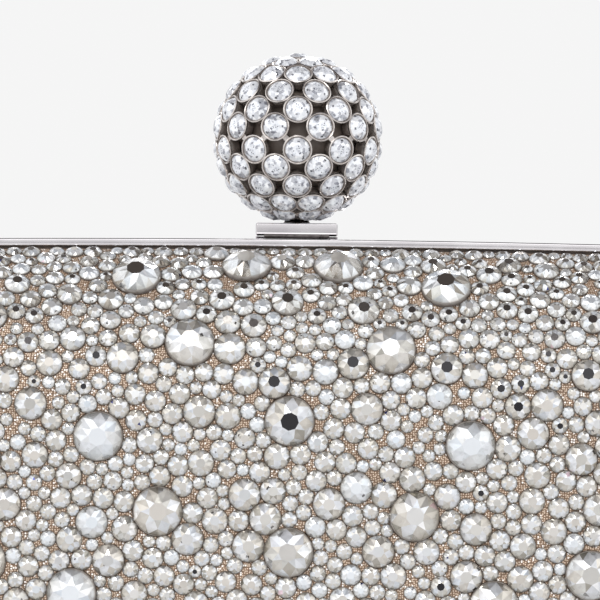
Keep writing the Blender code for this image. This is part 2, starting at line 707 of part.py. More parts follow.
def ball_point(radius, latitude, longitude):
    """A point of the ball at this latitude and longitude from the front, in degrees."""
    latitude, longitude = math.radians(latitude), math.radians(longitude)
    across = radius * math.cos(latitude)
    return BALL_CENTRE + Vector(
        (across * math.sin(longitude), -across * math.cos(longitude), radius * math.sin(latitude))
    )


def lattice_rows():
    """Latitudes of all the lattice's rows from south to north, with a polar row beyond each end."""
    above = list(ROW_LATITUDES) + [POLAR_LATITUDE]
    return [-latitude for latitude in reversed(above)] + above


def between(first, second):
    """The distance between two (latitude, longitude) sites at the height of the cups' rims."""
    radius = CAGE_RADIUS + CUP_HEIGHT
    return (ball_point(radius, *first) - ball_point(radius, *second)).length


def cup_radius():
    """The rims' radius: as large as the closest pair of cups leaves room for."""
    pitch = 180 / ROW_CUPS
    pairs = [((low, 0), (high, pitch)) for low, high in zip(ROW_LATITUDES, ROW_LATITUDES[1:])]
    pairs.append(((ROW_LATITUDES[-1], 0), (ROW_LATITUDES[-1], 2 * pitch)))
    pairs.append(((POLAR_LATITUDE, 0), (POLAR_LATITUDE, 360 / POLAR_CUPS)))
    return (min(between(*pair) for pair in pairs) - CUP_GAP) / 2


def join_vertices(mesh_data, radius):
    """The two ends of the edge where each cup meets its diagonal neighbour above, by (gap, interval).

    A gap lies between two rows and an interval is half a cup's pitch along them. Rows alternate, so in
    every interval the lower cup stands either at its left end or at its right end.
    """
    rows = lattice_rows()
    near, far = JOIN_SHARES
    pitch = 180 / ROW_CUPS
    joins = {}
    for gap in range(len(rows) - 1):
        rise = rows[gap + 1] - rows[gap]
        for interval in range(2 * ROW_CUPS):
            lower_at_left = (gap + interval) % 2 == 0
            start, sense = (interval, 1) if lower_at_left else (interval + 1, -1)
            low = ball_point(radius, rows[gap] + near * rise, pitch * (start + sense * far))
            high = ball_point(radius, rows[gap] + far * rise, pitch * (start + sense * near))
            joins[gap, interval] = (mesh_data.verts.new(low), mesh_data.verts.new(high))
    return joins


def cup_outline(joins, row, interval):
    """The eight corners of the cup that stands at the left end of this interval, anticlockwise from below."""
    before = (interval - 1) % (2 * ROW_CUPS)
    low, high = 0, 1
    return [
        joins[row - 1, interval][low],
        joins[row - 1, interval][high],
        joins[row, interval][low],
        joins[row, interval][high],
        joins[row, before][high],
        joins[row, before][low],
        joins[row - 1, before][high],
        joins[row - 1, before][low],
    ]


def pole_outline(joins, gap):
    """The corners of the lattice's edge round a pole, in order of longitude."""
    corners = []
    for interval in range(2 * ROW_CUPS):
        low, high = joins[gap, interval]
        lower_at_left = (gap + interval) % 2 == 0
        corners += [high, low] if lower_at_left else [low, high]
    return corners


def lattice_longitudes(corners):
    centre = BALL_CENTRE
    return [math.degrees(math.atan2(v.co.x - centre.x, centre.y - v.co.y)) for v in corners]


def add_strip(mesh_data, first, second):
    """Quads between two equal rings of vertices."""
    for i in range(len(first)):
        j = (i + 1) % len(first)
        mesh_data.faces.new((first[i], first[j], second[j], second[i]))


def add_cup(mesh_data, outline_corners, latitude, longitude):
    """A cup from its corners on the lattice up to its rim, and the cut stone in it up to its table."""
    place = ball_place(math.radians(latitude), math.radians(longitude))
    first_angle = -math.pi / 2 + math.pi / CUP_SIDES
    ring = outline_corners
    rim = cup_radius()
    for radius, height in ((rim, CAGE_RADIUS + CUP_HEIGHT), (rim * BALL_TABLE_SHARE, BALL_RADIUS)):
        upper = []
        for i in range(CUP_SIDES):
            angle = first_angle + 2 * math.pi * i / CUP_SIDES
            upper.append(mesh_data.verts.new(round_point(place, radius, angle, height)))
        add_strip(mesh_data, ring, upper)
        ring = upper
    mesh_data.faces.new(ring)


def screw_hole_ring(mesh_data, longitudes, height):
    hole = BALL_SCREW_RADIUS + RUNNING_GAP
    ring = []
    for longitude in longitudes:
        angle = math.radians(longitude)
        place = (hole * math.sin(angle), BALL_CENTRE.y - hole * math.cos(angle), height)
        ring.append(mesh_data.verts.new(place))
    return ring


def ball_cage():
    """The openwork ball: cups joined at their corners with square windows between, and a cap at each pole."""
    mesh_data = bmesh.new()
    layers = [(CAGE_RADIUS, join_vertices(mesh_data, CAGE_RADIUS))]
    layers.append((CAGE_RADIUS - CAGE_THICKNESS, join_vertices(mesh_data, CAGE_RADIUS - CAGE_THICKNESS)))
    (_, outer), (_, inner) = layers
    rows = lattice_rows()
    pitch = 180 / ROW_CUPS
    for row in range(1, len(rows) - 1):
        for interval in range(row % 2, 2 * ROW_CUPS, 2):
            add_cup(mesh_data, cup_outline(outer, row, interval), rows[row], pitch * interval)
            mesh_data.faces.new(cup_outline(inner, row, interval))
            after = (interval + 1) % (2 * ROW_CUPS)
            windows = []
            for joins in (outer, inner):
                below_left, above_left = joins[row - 1, interval][1], joins[row, interval][0]
                below_right, above_right = joins[row - 1, after][1], joins[row, after][0]
                windows.append([below_left, above_left, above_right, below_right])
            add_strip(mesh_data, *windows)
    top_gap = len(rows) - 2
    for gap, latitude in ((top_gap, POLAR_CAP_LATITUDE), (0, -POLAR_CAP_LATITUDE)):
        poles = []
        for radius, joins in layers:
            corners = pole_outline(joins, gap)
            longitudes = lattice_longitudes(corners)
            ring = [mesh_data.verts.new(ball_point(radius, latitude, angle)) for angle in longitudes]
            add_strip(mesh_data, corners, ring)
            poles.append((ring, longitudes))
        if gap == top_gap:
            for ring, _ in poles:
                mesh_data.faces.new(ring)
            continue
        holes = [screw_hole_ring(mesh_data, longitudes, ring[0].co.z) for ring, longitudes in poles]
        for (ring, _), hole in zip(poles, holes):
            add_strip(mesh_data, ring, hole)
        add_strip(mesh_data, *holes)
    cage = object_from(mesh_data, "ball_cage", crystal())
    add_polar_cups(cage)
    return cage


def add_polar_cups(cage):
    """The cups on the two caps: a row round each pole and one at the very top."""
    rim = cup_radius()
    shape = (
        (rim * CUP_ROOT_SHARE, CAGE_RADIUS - CAGE_THICKNESS / 2),
        (rim, CAGE_RADIUS + CUP_HEIGHT),
        (rim * BALL_TABLE_SHARE, BALL_RADIUS),
    )
    sites = [(90, 0)]
    for i in range(POLAR_CUPS):
        longitude = 360 * (i + 0.5) / POLAR_CUPS
        sites += [(POLAR_LATITUDE, longitude), (-POLAR_LATITUDE, longitude)]
    mesh_data = bmesh.new()
    for latitude, longitude in sites:
        place = ball_place(math.radians(latitude), math.radians(longitude))
        add_loops(mesh_data, cut_stone_loops(place, shape, CUP_SIDES))
    combine(cage, mesh_data, "UNION", "ball_polar_cups")


def turned(name, profile, material, sides=20):
    """A piece turned about the ball's upright axis from (radius, height) points with a bore."""
    place = Matrix.Translation((0, BALL_CENTRE.y, 0))
    mesh_data = bmesh.new()
    add_loops(mesh_data, cut_stone_loops(place, profile, sides), closed=True)
    return object_from(mesh_data, name, material)


def ball_seat_heights():
    """z of the cage's outer and inner faces round the screw."""
    share = math.sin(math.radians(POLAR_CAP_LATITUDE))
    return BALL_CENTRE.z - CAGE_RADIUS * share, BALL_CENTRE.z - (CAGE_RADIUS - CAGE_THICKNESS) * share


def ball_collar():
    """The flared neck between the lever and the ball."""
    outer, _ = ball_seat_heights()
    bore = BALL_SCREW_RADIUS + RUNNING_GAP
    foot = LEVER_TOP + RUNNING_GAP
    top = outer - RUNNING_GAP
    profile = ((bore, foot), (COLLAR_FOOT_RADIUS, foot), (COLLAR_TOP_RADIUS, top), (bore, top))
    return turned("ball_collar", profile, dark_metal())


def ball_core():
    """The dark ball inside the cage, with a blind bore below for its threaded insert."""
    radius = CAGE_RADIUS - CAGE_THICKNESS - CORE_ROOM
    _, seat = ball_seat_heights()
    bore = BALL_INSERT_RADIUS + RUNNING_GAP
    foot = seat + RUNNING_GAP - BALL_CENTRE.z
    first_latitude = -math.acos((bore + CORE_ROOM) / radius)
    steps = 8
    profile = [(bore, foot + BALL_INSERT_LENGTH + RUNNING_GAP), (bore, foot)]
    for step in range(steps):
        latitude = first_latitude + (math.pi / 2 - first_latitude) * step / steps
        height = max(foot, radius * math.sin(latitude))
        profile.append((radius * math.cos(latitude), height))
    place = Matrix.Translation(BALL_CENTRE)
    mesh_data = bmesh.new()
    add_loops(mesh_data, cut_stone_loops(place, profile, 16))
    return object_from(mesh_data, "ball_core", dark_resin())


def ball_insert():
    """The threaded sleeve in the core that the screw draws on."""
    _, seat = ball_seat_heights()
    bore = BALL_SCREW_RADIUS + RUNNING_GAP
    foot = seat + RUNNING_GAP
    top = foot + BALL_INSERT_LENGTH
    profile = ((bore, foot), (BALL_INSERT_RADIUS, foot), (BALL_INSERT_RADIUS, top), (bore, top))
    return turned("ball_insert", profile, brass(), 12)


def ball_screw():
    """The screw that draws the ball down on its collar, with its head sunk under the lever."""
    _, seat = ball_seat_heights()
    head_foot = LEVER_BOTTOM + RUNNING_GAP
    shoulder = head_foot + BALL_SCREW_HEAD_HEIGHT
    tip = seat + BALL_INSERT_LENGTH - BALL_SCREW_RADIUS
    mesh_data = bmesh.new()
    shape = (
        (BALL_SCREW_HEAD_RADIUS, head_foot),
        (BALL_SCREW_HEAD_RADIUS, shoulder),
        (BALL_SCREW_RADIUS, shoulder),
        (BALL_SCREW_RADIUS, tip),
    )
    place = Matrix.Translation((0, BALL_CENTRE.y, 0))
    add_loops(mesh_data, cut_stone_loops(place, shape, 12))
    return object_from(mesh_data, "ball_screw", dark_metal())


def half_case(prefix, side):
    """The frame, cover, shell and lining of one half."""
    frame_half(prefix + "_frame", side)
    crystal_cover(prefix + "_cover", side)
    tray(prefix + "_shell", SHELL_OFFSET, SHELL_THICKNESS, side, shell_plastic())
    tray(prefix + "_lining", LINING_OFFSET, LINING_THICKNESS, side, lining_satin())


def hinges():
    for word, centre in zip(("left", "right"), hinge_centres()):
        hinge_leaf(f"rear_hinge_leaf_{word}", centre, 1, True)
        hinge_leaf(f"front_hinge_leaf_{word}", centre, -1, False)
        hinge_pin(f"hinge_pin_{word}", centre)


def clasp():
    clasp_bracket()
    clasp_keeper()
    clasp_pin()
    clasp_spring()
    clasp_lever()
    clasp_hook()
    for word, x in rivet_places():
        rivet(f"bracket_rivet_{word}", x, 1, BRACKET_TOP)
        rivet(f"keeper_rivet_{word}", x, -1, KEEPER_TOP)


def crystal_ball():
    ball_cage()
    ball_core()
    ball_collar()
    ball_insert()
    ball_screw()


clear_scene()
half_case("rear", 1)
half_case("front", -1)
hinges()
clasp()
crystal_ball()
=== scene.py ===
import math

import bmesh
import bpy
import numpy as np
from mathutils import Matrix, Vector


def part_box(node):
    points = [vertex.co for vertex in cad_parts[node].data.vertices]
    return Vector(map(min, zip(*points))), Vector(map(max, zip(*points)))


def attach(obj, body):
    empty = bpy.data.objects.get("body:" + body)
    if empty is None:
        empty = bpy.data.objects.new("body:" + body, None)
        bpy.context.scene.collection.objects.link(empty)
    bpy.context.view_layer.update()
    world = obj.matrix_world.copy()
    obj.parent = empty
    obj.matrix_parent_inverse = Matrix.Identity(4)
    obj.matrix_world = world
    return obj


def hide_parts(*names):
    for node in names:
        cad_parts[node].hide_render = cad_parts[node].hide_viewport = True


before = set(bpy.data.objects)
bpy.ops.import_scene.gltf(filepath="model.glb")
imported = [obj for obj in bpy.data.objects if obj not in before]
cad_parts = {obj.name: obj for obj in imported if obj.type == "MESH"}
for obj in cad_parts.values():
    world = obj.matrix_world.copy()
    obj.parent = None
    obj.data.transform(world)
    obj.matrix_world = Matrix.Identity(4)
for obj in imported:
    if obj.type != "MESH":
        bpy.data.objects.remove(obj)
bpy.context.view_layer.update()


# ---- Formers ----
# The two shells of pressed board that give each half its pillow shape. The fabric is glued over the outside
# and the satin inside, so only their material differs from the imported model.
def principled(name, colour, metallic, roughness):
    """A material with one Principled shader, and that shader."""
    material = bpy.data.materials.new(name)
    material.use_nodes = True
    shader = material.node_tree.nodes["Principled BSDF"]
    shader.inputs["Base Color"].default_value = (*colour, 1)
    shader.inputs["Metallic"].default_value = metallic
    shader.inputs["Roughness"].default_value = roughness
    return material, shader


def place_node(tree, kind, *sources, **settings):
    """A node whose first inputs are linked to the given sockets or set to the given values."""
    node = tree.nodes.new(kind)
    for name, value in settings.items():
        setattr(node, name, value)
    for socket, source in zip(node.inputs, sources):
        if isinstance(source, bpy.types.NodeSocket):
            tree.links.new(source, socket)
        elif source is not None:
            socket.default_value = source
    return node


def colour_steps(tree, factor, steps):
    """A ramp through (position, colour) steps."""
    node = place_node(tree, "ShaderNodeValToRGB", factor)
    ramp = node.color_ramp
    while len(ramp.elements) < len(steps):
        ramp.elements.new(0.5)
    for element, (position, colour) in zip(ramp.elements, steps):
        element.position = position
        element.color = (*colour, 1)
    return node.outputs[0]


def own_coordinates(tree):
    return place_node(tree, "ShaderNodeTexCoord").outputs["Object"]


def roughen(tree, shader, height, strength, distance):
    """Bump on the shader from a height socket."""
    bump = place_node(tree, "ShaderNodeBump", strength, distance)
    tree.links.new(height, bump.inputs["Height"])
    tree.links.new(bump.outputs[0], shader.inputs["Normal"])


def grained(name, colour, metallic, roughness, grain, bump):
    """A material with bump from noise, given as (scale, detail). Returns its shader and the noise too."""
    material, shader = principled(name, colour, metallic, roughness)
    tree = material.node_tree
    noise = place_node(tree, "ShaderNodeTexNoise", own_coordinates(tree), None, *grain).outputs[0]
    roughen(tree, shader, noise, *bump)
    return material, shader, noise


def clouded(name, colour, metallic, roughness, grain, bump, tones):
    """The same with a base colour that runs through these tones."""
    material, shader, noise = grained(name, colour, metallic, roughness, grain, bump)
    tree = material.node_tree
    tree.links.new(colour_steps(tree, noise, tones), shader.inputs["Base Color"])
    return material, shader, noise


def finish_node(name, material):
    """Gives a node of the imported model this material."""
    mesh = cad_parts[name].data
    mesh.materials.clear()
    mesh.materials.append(material)


board, _, _ = clouded(
    "pressed_board", (0.10, 0.075, 0.055), 0, 0.8, (900, 4), (0.4, 0.0001),
    ((0.35, (0.07, 0.05, 0.035)), (0.65, (0.15, 0.11, 0.08))),
)
for name in ("rear_shell", "front_shell"):
    finish_node(name, board)


# ---- Mesh fabric ----
# A nude net with a metallic thread, stretched over each former and glued down, its edge tucked behind the
# frame. It shows between the stones as tan cloth with rows of bright points.
CASE_WIDTH = 0.178
CASE_HEIGHT = 0.102
TOP_CROWN = 0.001
CORNER_RADIUS = 0.012
PANEL_CORNER_RADIUS = 0.017
LIP_HEIGHT = 0.0013
CREVICE = 0.0006
FRAME_DEPTH = 0.0042
PARTING_FACE = 0.00015
PILLOW_RADIUS = 0.030
PILLOW_TILT = math.radians(66)
HALF_WIDTH = CASE_WIDTH / 2
HALF_HEIGHT = (CASE_HEIGHT - TOP_CROWN) / 2
EDGE_INSET = LIP_HEIGHT + CREVICE
PANEL_INSET = EDGE_INSET + PILLOW_RADIUS * math.sin(PILLOW_TILT)
PANEL_DEPTH = FRAME_DEPTH + PILLOW_RADIUS * (1 - math.cos(PILLOW_TILT))
HALVES = (("front", -1), ("rear", 1))
CORNER_STEPS = 14
LONG_STEPS = 28
SHORT_STEPS = 12
PILLOW_STEPS = 18
PANEL_SHARES = (0.75, 0.5, 0.25, 0.08)
THREAD_PITCH = 0.00041


def corner_radius(inset):
    share = np.maximum(0, inset - EDGE_INSET) / (PANEL_INSET - EDGE_INSET)
    radius = CORNER_RADIUS - np.minimum(inset, EDGE_INSET)
    return radius + (PANEL_CORNER_RADIUS - CORNER_RADIUS + EDGE_INSET) * share


def crown_rise(x, z):
    return TOP_CROWN * (1 - (x / HALF_WIDTH) ** 2) * np.maximum(0, z / HALF_HEIGHT)


def outline(inset):
    """Points (x, z) round the case's outline drawn in by inset, anticlockwise from the right."""
    radius = corner_radius(inset)
    corner_x = HALF_WIDTH - inset - radius
    corner_z = HALF_HEIGHT - inset - radius
    points = []

    def on_corner(side_x, side_z, angle):
        x = side_x * corner_x + radius * math.cos(angle)
        return x, side_z * corner_z + radius * math.sin(angle)

    sides = ((1, 1, LONG_STEPS), (-1, 1, SHORT_STEPS), (-1, -1, LONG_STEPS), (1, -1, SHORT_STEPS))
    for quarter, (side_x, side_z, steps) in enumerate(sides):
        for step in range(CORNER_STEPS + 1):
            angle = math.radians(90 * (quarter + step / CORNER_STEPS))
            points.append(on_corner(side_x, side_z, angle))
        end_x, end_z, _ = sides[(quarter + 1) % len(sides)]
        start = np.array(points[-1])
        end = np.array(on_corner(end_x, end_z, math.radians(90 * (quarter + 1))))
        points += [tuple(start + (end - start) * step / steps) for step in range(1, steps)]
    return [(x, HALF_HEIGHT + z + crown_rise(x, z)) for x, z in points]


def mesh_from(loops, closed=False, capped=False):
    """A skin over equal loops of points; closed joins the last loop to the first."""
    mesh_data = bmesh.new()
    rings = [[mesh_data.verts.new(point) for point in loop] for loop in loops]
    if closed:
        rings.append(rings[0])
    for first, second in zip(rings, rings[1:]):
        for i in range(len(first)):
            j = (i + 1) % len(first)
            mesh_data.faces.new((first[i], first[j], second[j], second[i]))
    if capped:
        mesh_data.faces.new(reversed(rings[0]))
        mesh_data.faces.new(rings[-1])
    return mesh_data


def add_object(name, data):
    """An object with this data, linked into the scene."""
    made = bpy.data.objects.new(name, data)
    bpy.context.scene.collection.objects.link(made)
    return made


def mesh_named(name, mesh_data):
    mesh = bpy.data.meshes.new(name)
    mesh_data.to_mesh(mesh)
    mesh_data.free()
    return mesh


def smooth(mesh, sharp_angle):
    """Smooth shading but for edges sharper than the angle in degrees."""
    mesh.shade_smooth()
    mesh.set_sharp_from_angle(angle=math.radians(sharp_angle))


def piece_from(mesh_data, name, material, sharp_angle=None):
    """An object from this mesh data, smooth but for edges sharper than the angle."""
    mesh = mesh_named(name, mesh_data)
    mesh.materials.append(material)
    if sharp_angle is not None:
        smooth(mesh, sharp_angle)
    return add_object(name, mesh)


def turn_outwards(mesh_data):
    bmesh.ops.recalc_face_normals(mesh_data, faces=mesh_data.faces[:])
    return mesh_data


def pillow_profile(offset, drop):
    """(inset, depth, inset of the cloth laid flat) from the turned-in edge of the pillow to the panel."""
    radius = PILLOW_RADIUS + offset
    rows = []
    for step in range(PILLOW_STEPS + 1):
        tilt = PILLOW_TILT * (1 - step / PILLOW_STEPS)
        inset = PANEL_INSET - radius * math.sin(tilt)
        depth = PANEL_DEPTH - PILLOW_RADIUS + radius * math.cos(tilt)
        rows.append((inset, depth, PANEL_INSET - radius * tilt))
    edge_inset, edge_depth, flat_inset = rows[0]
    return [(edge_inset, edge_depth - drop, flat_inset - drop)] + rows


def cloth_over_pillow(name, side, offset, drop, material):
    """The cloth as one skin with its flat pattern as its UV map, in metres."""
    rows = pillow_profile(offset, drop)
    loops = [[(x, side * depth, z) for x, z in outline(inset)] for inset, depth, _ in rows]
    flat = [list(outline(flat_inset)) for _, _, flat_inset in rows]
    panel = np.array(flat[-1])
    middle = np.array((0, HALF_HEIGHT))
    for share in PANEL_SHARES:
        inner = middle + (panel - middle) * share
        loops.append([(x, side * PANEL_DEPTH + side * offset, z) for x, z in inner])
        flat.append([tuple(point) for point in inner])
    mesh_data = mesh_from(loops)
    mesh_data.faces.new(list(mesh_data.verts)[-len(panel):])
    uv_layer = mesh_data.loops.layers.uv.new("cloth")
    mesh_data.verts.index_update()
    pattern = [point for loop in flat for point in loop]
    for face in mesh_data.faces:
        for corner in face.loops:
            corner[uv_layer].uv = pattern[corner.vert.index]
    turn_outwards(mesh_data)
    if sum(face.normal.y * face.calc_area() for face in mesh_data.faces) * side < 0:
        bmesh.ops.reverse_faces(mesh_data, faces=mesh_data.faces[:])
    return piece_from(mesh_data, name, material, 40)


def cloth_pattern(tree):
    return place_node(tree, "ShaderNodeUVMap", uv_map="cloth").outputs[0]


def number(tree, operation, *sources):
    """The result of one operation on numbers."""
    return place_node(tree, "ShaderNodeMath", *sources, operation=operation).outputs[0]


def rescaled(tree, source, *limits):
    """The source moved from between the first two limits to between the last two."""
    return place_node(tree, "ShaderNodeMapRange", source, *limits).outputs[0]


def blend_colours(tree, share, first, second, blend_type="MIX"):
    """The first colour with this share of the second mixed in or laid over it."""
    node = place_node(tree, "ShaderNodeMix", data_type="RGBA", blend_type=blend_type)
    for socket, source in ((node.inputs[0], share), (node.inputs[6], first), (node.inputs[7], second)):
        if isinstance(source, bpy.types.NodeSocket):
            tree.links.new(source, socket)
        else:
            socket.default_value = source
    return node.outputs[2]


def times(tree, first, second):
    return blend_colours(tree, 1.0, first, second, "MULTIPLY")


def nude_net():
    """Tan net: bright points of metallic thread over darker mesh, drifts of tone, and painted glints."""
    material, shader = principled("nude_net", (0.42, 0.27, 0.18), 0, 0.6)
    tree = material.node_tree
    pattern = cloth_pattern(tree)
    cells = place_node(tree, "ShaderNodeTexVoronoi", pattern, None, 1 / THREAD_PITCH,
                       voronoi_dimensions="2D")
    cells.inputs["Randomness"].default_value = 0.55
    knots = colour_steps(tree, cells.outputs["Distance"], (
        (0.15, (0.98, 0.88, 0.76)), (0.28, (0.42, 0.27, 0.17)), (0.60, (0.17, 0.105, 0.063)),
    ))
    drift = place_node(tree, "ShaderNodeTexNoise", pattern, None, 260, 3)
    tone = colour_steps(tree, drift.outputs[0], ((0.3, (0.72, 0.72, 0.72)), (0.7, (1, 1, 1))))
    colour = times(tree, knots, tone)
    # Painted glints: a share of the points is near white in colour, for the sparkle of the thread.
    draw = place_node(tree, "ShaderNodeSeparateColor", cells.outputs["Color"])
    painted_glint = number(tree, "MULTIPLY", number(tree, "GREATER_THAN", draw.outputs[0], 0.84),
                   number(tree, "LESS_THAN", cells.outputs["Distance"], 0.40))
    tree.links.new(blend_colours(tree, painted_glint, colour, (1.0, 0.97, 0.93, 1)), shader.inputs["Base Color"])
    shine = rescaled(tree, cells.outputs["Distance"], 0.16, 0.3, 0.8, 0.0)
    tree.links.new(shine, shader.inputs["Metallic"])
    shader.inputs["Sheen Weight"].default_value = 0.3
    shader.inputs["Sheen Roughness"].default_value = 0.4
    height = number(tree, "SUBTRACT", 1.0, cells.outputs["Distance"])
    roughen(tree, shader, height, 0.6, 0.0001)
    return material


NET_TURN_IN = 0.002
net = nude_net()
for word, side in HALVES:
    cover = cloth_over_pillow(word + "_net", side, 0, NET_TURN_IN, net)
    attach(cover, word + "_half")


# ---- Crystals ----
# Flat-backed cut stones in seven sizes, foiled behind and glued to the net one against the next. The largest
# stand out singly among the rest. The same laying serves both halves, turned about the upright axis.
STONE_SIZES = (0.00280, 0.00228, 0.00186, 0.00166, 0.00142, 0.00113)
FLAT_ODDS = (0.01, 0.09, 0.30, 0.04, 0.31, 0.25)
STEEP_ODDS = (0.00, 0.08, 0.17, 0.32, 0.25, 0.18)
LARGE_STONE_RADIUS = 0.0043
MEDIUM_STONE_RADIUS = 0.0028
STONE_GAP = 0.00004
CROWDING = 0.81
MOST_OVERLAP = 0.16
SEARCH_ROUNDS = 10
SEARCH_MARGIN = 0.0012
PUSH_SHARE = 0.9
SETTLING_ROUNDS = 220
FILLING_SQUEEZE = 0.86
FILLING_TURNS = 4
FILLING_ROUNDS = 50
SAMPLE_COUNT = 100000
SAMPLE_MARGIN = 0.0002
SPARE_SPOTS = 10000
EDGE_ROW_RADIUS = 0.0014
EDGE_ROW_WEIGHT = 0.5
MEDIUM_WEIGHT = 0.25
SLOPE_STEP = 0.0002
LARGE_FROM = 0.004
MEDIUM_FROM = 0.0020
STONE_LEAN = math.radians(3)
DARK_TILTS = (0, 5, 13, 24, 34, 60)
DARK_ODDS = (0.02, 0.12, 0.34, 0.16, 0.38, 0.62)
DARK_PLACES = (-0.04, 0.01, 0.03)
DARK_FACTORS = (0.5, 0.7, 1.3)
WHITE_ODDS = 0.12
BED_RADIUS = 1.08
FLAT_BACK_RINGS = ((BED_RADIUS, 0.0, 16, 0), (1.0, 0.155, 16, 0), (0.72, 0.40, 8, 0.5), (0.38, 0.54, 8, 0))
LARGE_STONE_SHARES = (
    (-0.32, 0.88), (-0.10, 0.92), (0.085, 0.92), (0.30, 0.85), (-0.21, 0.65), (0.19, 0.63),
    (-0.01, 0.38), (-0.39, 0.32), (0.35, 0.30), (-0.27, 0.06), (0.24, 0.05), (-0.01, -0.08),
    (-0.44, -0.23), (0.40, -0.26), (0.59, -0.15), (-0.62, -0.12), (-0.74, 0.90), (-0.90, 0.70),
    (-0.72, 0.47), (-0.88, 0.20), (-0.92, -0.22), (-0.71, -0.60), (0.72, 0.84), (0.87, 0.66),
    (0.72, 0.45), (0.83, 0.14), (0.73, -0.39), (0.90, -0.25), (-0.51, -0.73), (-0.29, -0.46),
    (-0.10, -0.73), (0.10, -0.48), (0.30, -0.73), (0.52, -0.57), (-0.87, -0.76), (0.86, -0.73),
)
LARGE_DARK_STONES = (0, 3, 6, 19, 26)
LARGE_WHITE_STONES = (7, 8, 12, 23, 28, 35)
MEDIUM_STONE_SHARES = (
    (-0.34, 0.60), (-0.14, 0.60), (-0.50, 0.41), (-0.17, 0.43), (-0.02, 0.51), (0.11, 0.58),
    (0.31, 0.58), (0.14, 0.42), (0.47, 0.40), (-0.40, 0.00), (-0.40, -0.12), (-0.20, -0.01),
    (-0.07, 0.13), (-0.02, 0.05), (-0.58, 0.08), (0.04, 0.12), (0.16, -0.02), (0.36, -0.03),
    (0.36, -0.14), (0.60, 0.08), (-0.62, 0.74), (-0.74, 0.20), (-0.79, -0.02), (-0.80, -0.36),
    (-0.57, -0.42), (-0.63, -0.83), (-0.37, -0.66), (-0.01, -0.52), (0.20, -0.64), (-0.22, -0.90),
    (0.19, -0.90), (0.62, -0.33), (0.94, -0.52), (0.60, 0.57), (0.95, 0.40), (0.66, 0.24),
    (0.74, -0.08), (0.00, 0.77),
)


def inset_of(x, z):
    """The inset of the outline through each point of the front view, found by halving."""
    level = z - HALF_HEIGHT
    level = level - crown_rise(x, level)
    low = np.full(x.shape, -CORNER_RADIUS)
    high = np.full(x.shape, PANEL_INSET)
    for _ in range(24):
        inset = (low + high) / 2
        radius = corner_radius(inset)
        over_x = np.abs(x) - (HALF_WIDTH - inset - radius)
        over_z = np.abs(level) - (HALF_HEIGHT - inset - radius)
        beyond = np.hypot(np.maximum(over_x, 0), np.maximum(over_z, 0))
        beyond += np.minimum(np.maximum(over_x, over_z), 0)
        outside = beyond > radius
        high = np.where(outside, inset, high)
        low = np.where(outside, low, inset)
    return (low + high) / 2


def pillow_depth(inset):
    across = np.minimum(PANEL_INSET - inset, PILLOW_RADIUS * math.sin(PILLOW_TILT))
    return PANEL_DEPTH - PILLOW_RADIUS + np.sqrt(PILLOW_RADIUS**2 - across**2)


def depth_at(x, z):
    return pillow_depth(inset_of(x, z))


def slopes(height, x, z):
    """How a height over the front view grows along x and along z."""
    slope_x = (height(x + SLOPE_STEP, z) - height(x - SLOPE_STEP, z)) / (2 * SLOPE_STEP)
    slope_z = (height(x, z + SLOPE_STEP) - height(x, z - SLOPE_STEP)) / (2 * SLOPE_STEP)
    return slope_x, slope_z


def pillow_normals(x, z):
    """Outward unit normals of the front half."""
    slope_x, slope_z = slopes(depth_at, x, z)
    normals = np.stack((-slope_x, -np.ones_like(x), -slope_z), axis=1)
    return normals / np.linalg.norm(normals, axis=1)[:, None]


def least_inset(radii):
    """How far in a stone's centre is when its girdle touches the frame's lip."""
    tilt = PILLOW_TILT - radii / PILLOW_RADIUS
    return PANEL_INSET - PILLOW_RADIUS * np.sin(tilt)


def lay_points(x, z):
    return np.stack((x, -depth_at(x, z), z), axis=1)


def pillow_samples(dice):
    """Points spread evenly over the pillow's surface."""
    x = dice.uniform(-HALF_WIDTH, HALF_WIDTH, SAMPLE_COUNT)
    z = dice.uniform(0, CASE_HEIGHT, SAMPLE_COUNT)
    steepness = 1 / np.abs(pillow_normals(x, z)[:, 1])
    steep_enough = dice.uniform(0, 1 / math.cos(PILLOW_TILT), SAMPLE_COUNT) < steepness
    keep = (inset_of(x, z) > EDGE_INSET + SAMPLE_MARGIN) & steep_enough
    area = CASE_WIDTH * CASE_HEIGHT / math.cos(PILLOW_TILT) * keep.mean()
    return x[keep], z[keep], area


def settle(points, radii, weight, rounds):
    """Pushes crowded stones apart over the pillow until they only touch. Each gives way by its weight."""
    inset_floor = least_inset(radii)
    for turn in range(rounds):
        if turn % SEARCH_ROUNDS == 0:
            square = (points**2).sum(axis=1)
            distance = square[:, None] + square[None, :] - 2 * points @ points.T
            reach = radii[:, None] + radii[None, :] + SEARCH_MARGIN
            first, second = np.nonzero(np.triu(distance < reach**2, 1))
        apart = points[first] - points[second]
        length = np.maximum(np.linalg.norm(apart, axis=1), 1e-7)
        over = radii[first] + radii[second] + STONE_GAP - length
        total = np.maximum(weight[first] + weight[second], 0.1)
        push = (np.maximum(over, 0) / length / total * PUSH_SHARE)[:, None] * apart
        moves = np.zeros_like(points)
        np.add.at(moves, first, push * weight[first][:, None])
        np.add.at(moves, second, -push * weight[second][:, None])
        x = points[:, 0] + moves[:, 0]
        z = points[:, 2] + moves[:, 2]
        short = np.maximum(inset_floor - inset_of(x, z), 0) * (weight > 0)
        if short.any():
            slope_x, slope_z = slopes(inset_of, x, z)
            x = x + slope_x * short
            z = z + slope_z * short
        points = lay_points(x, z)
    return points


def without_crowded(points, radii, weight):
    """Takes out the stones that still lie well over a larger or firmer neighbour."""
    kept = np.ones(len(radii), dtype=bool)
    for i in np.argsort(radii):
        if weight[i] < 1:
            continue
        over = radii + radii[i] - np.linalg.norm(points - points[i], axis=1)
        over[i] = 0
        kept[i] = np.max(over[kept]) < MOST_OVERLAP * radii[i]
    return points[kept], radii[kept], weight[kept]


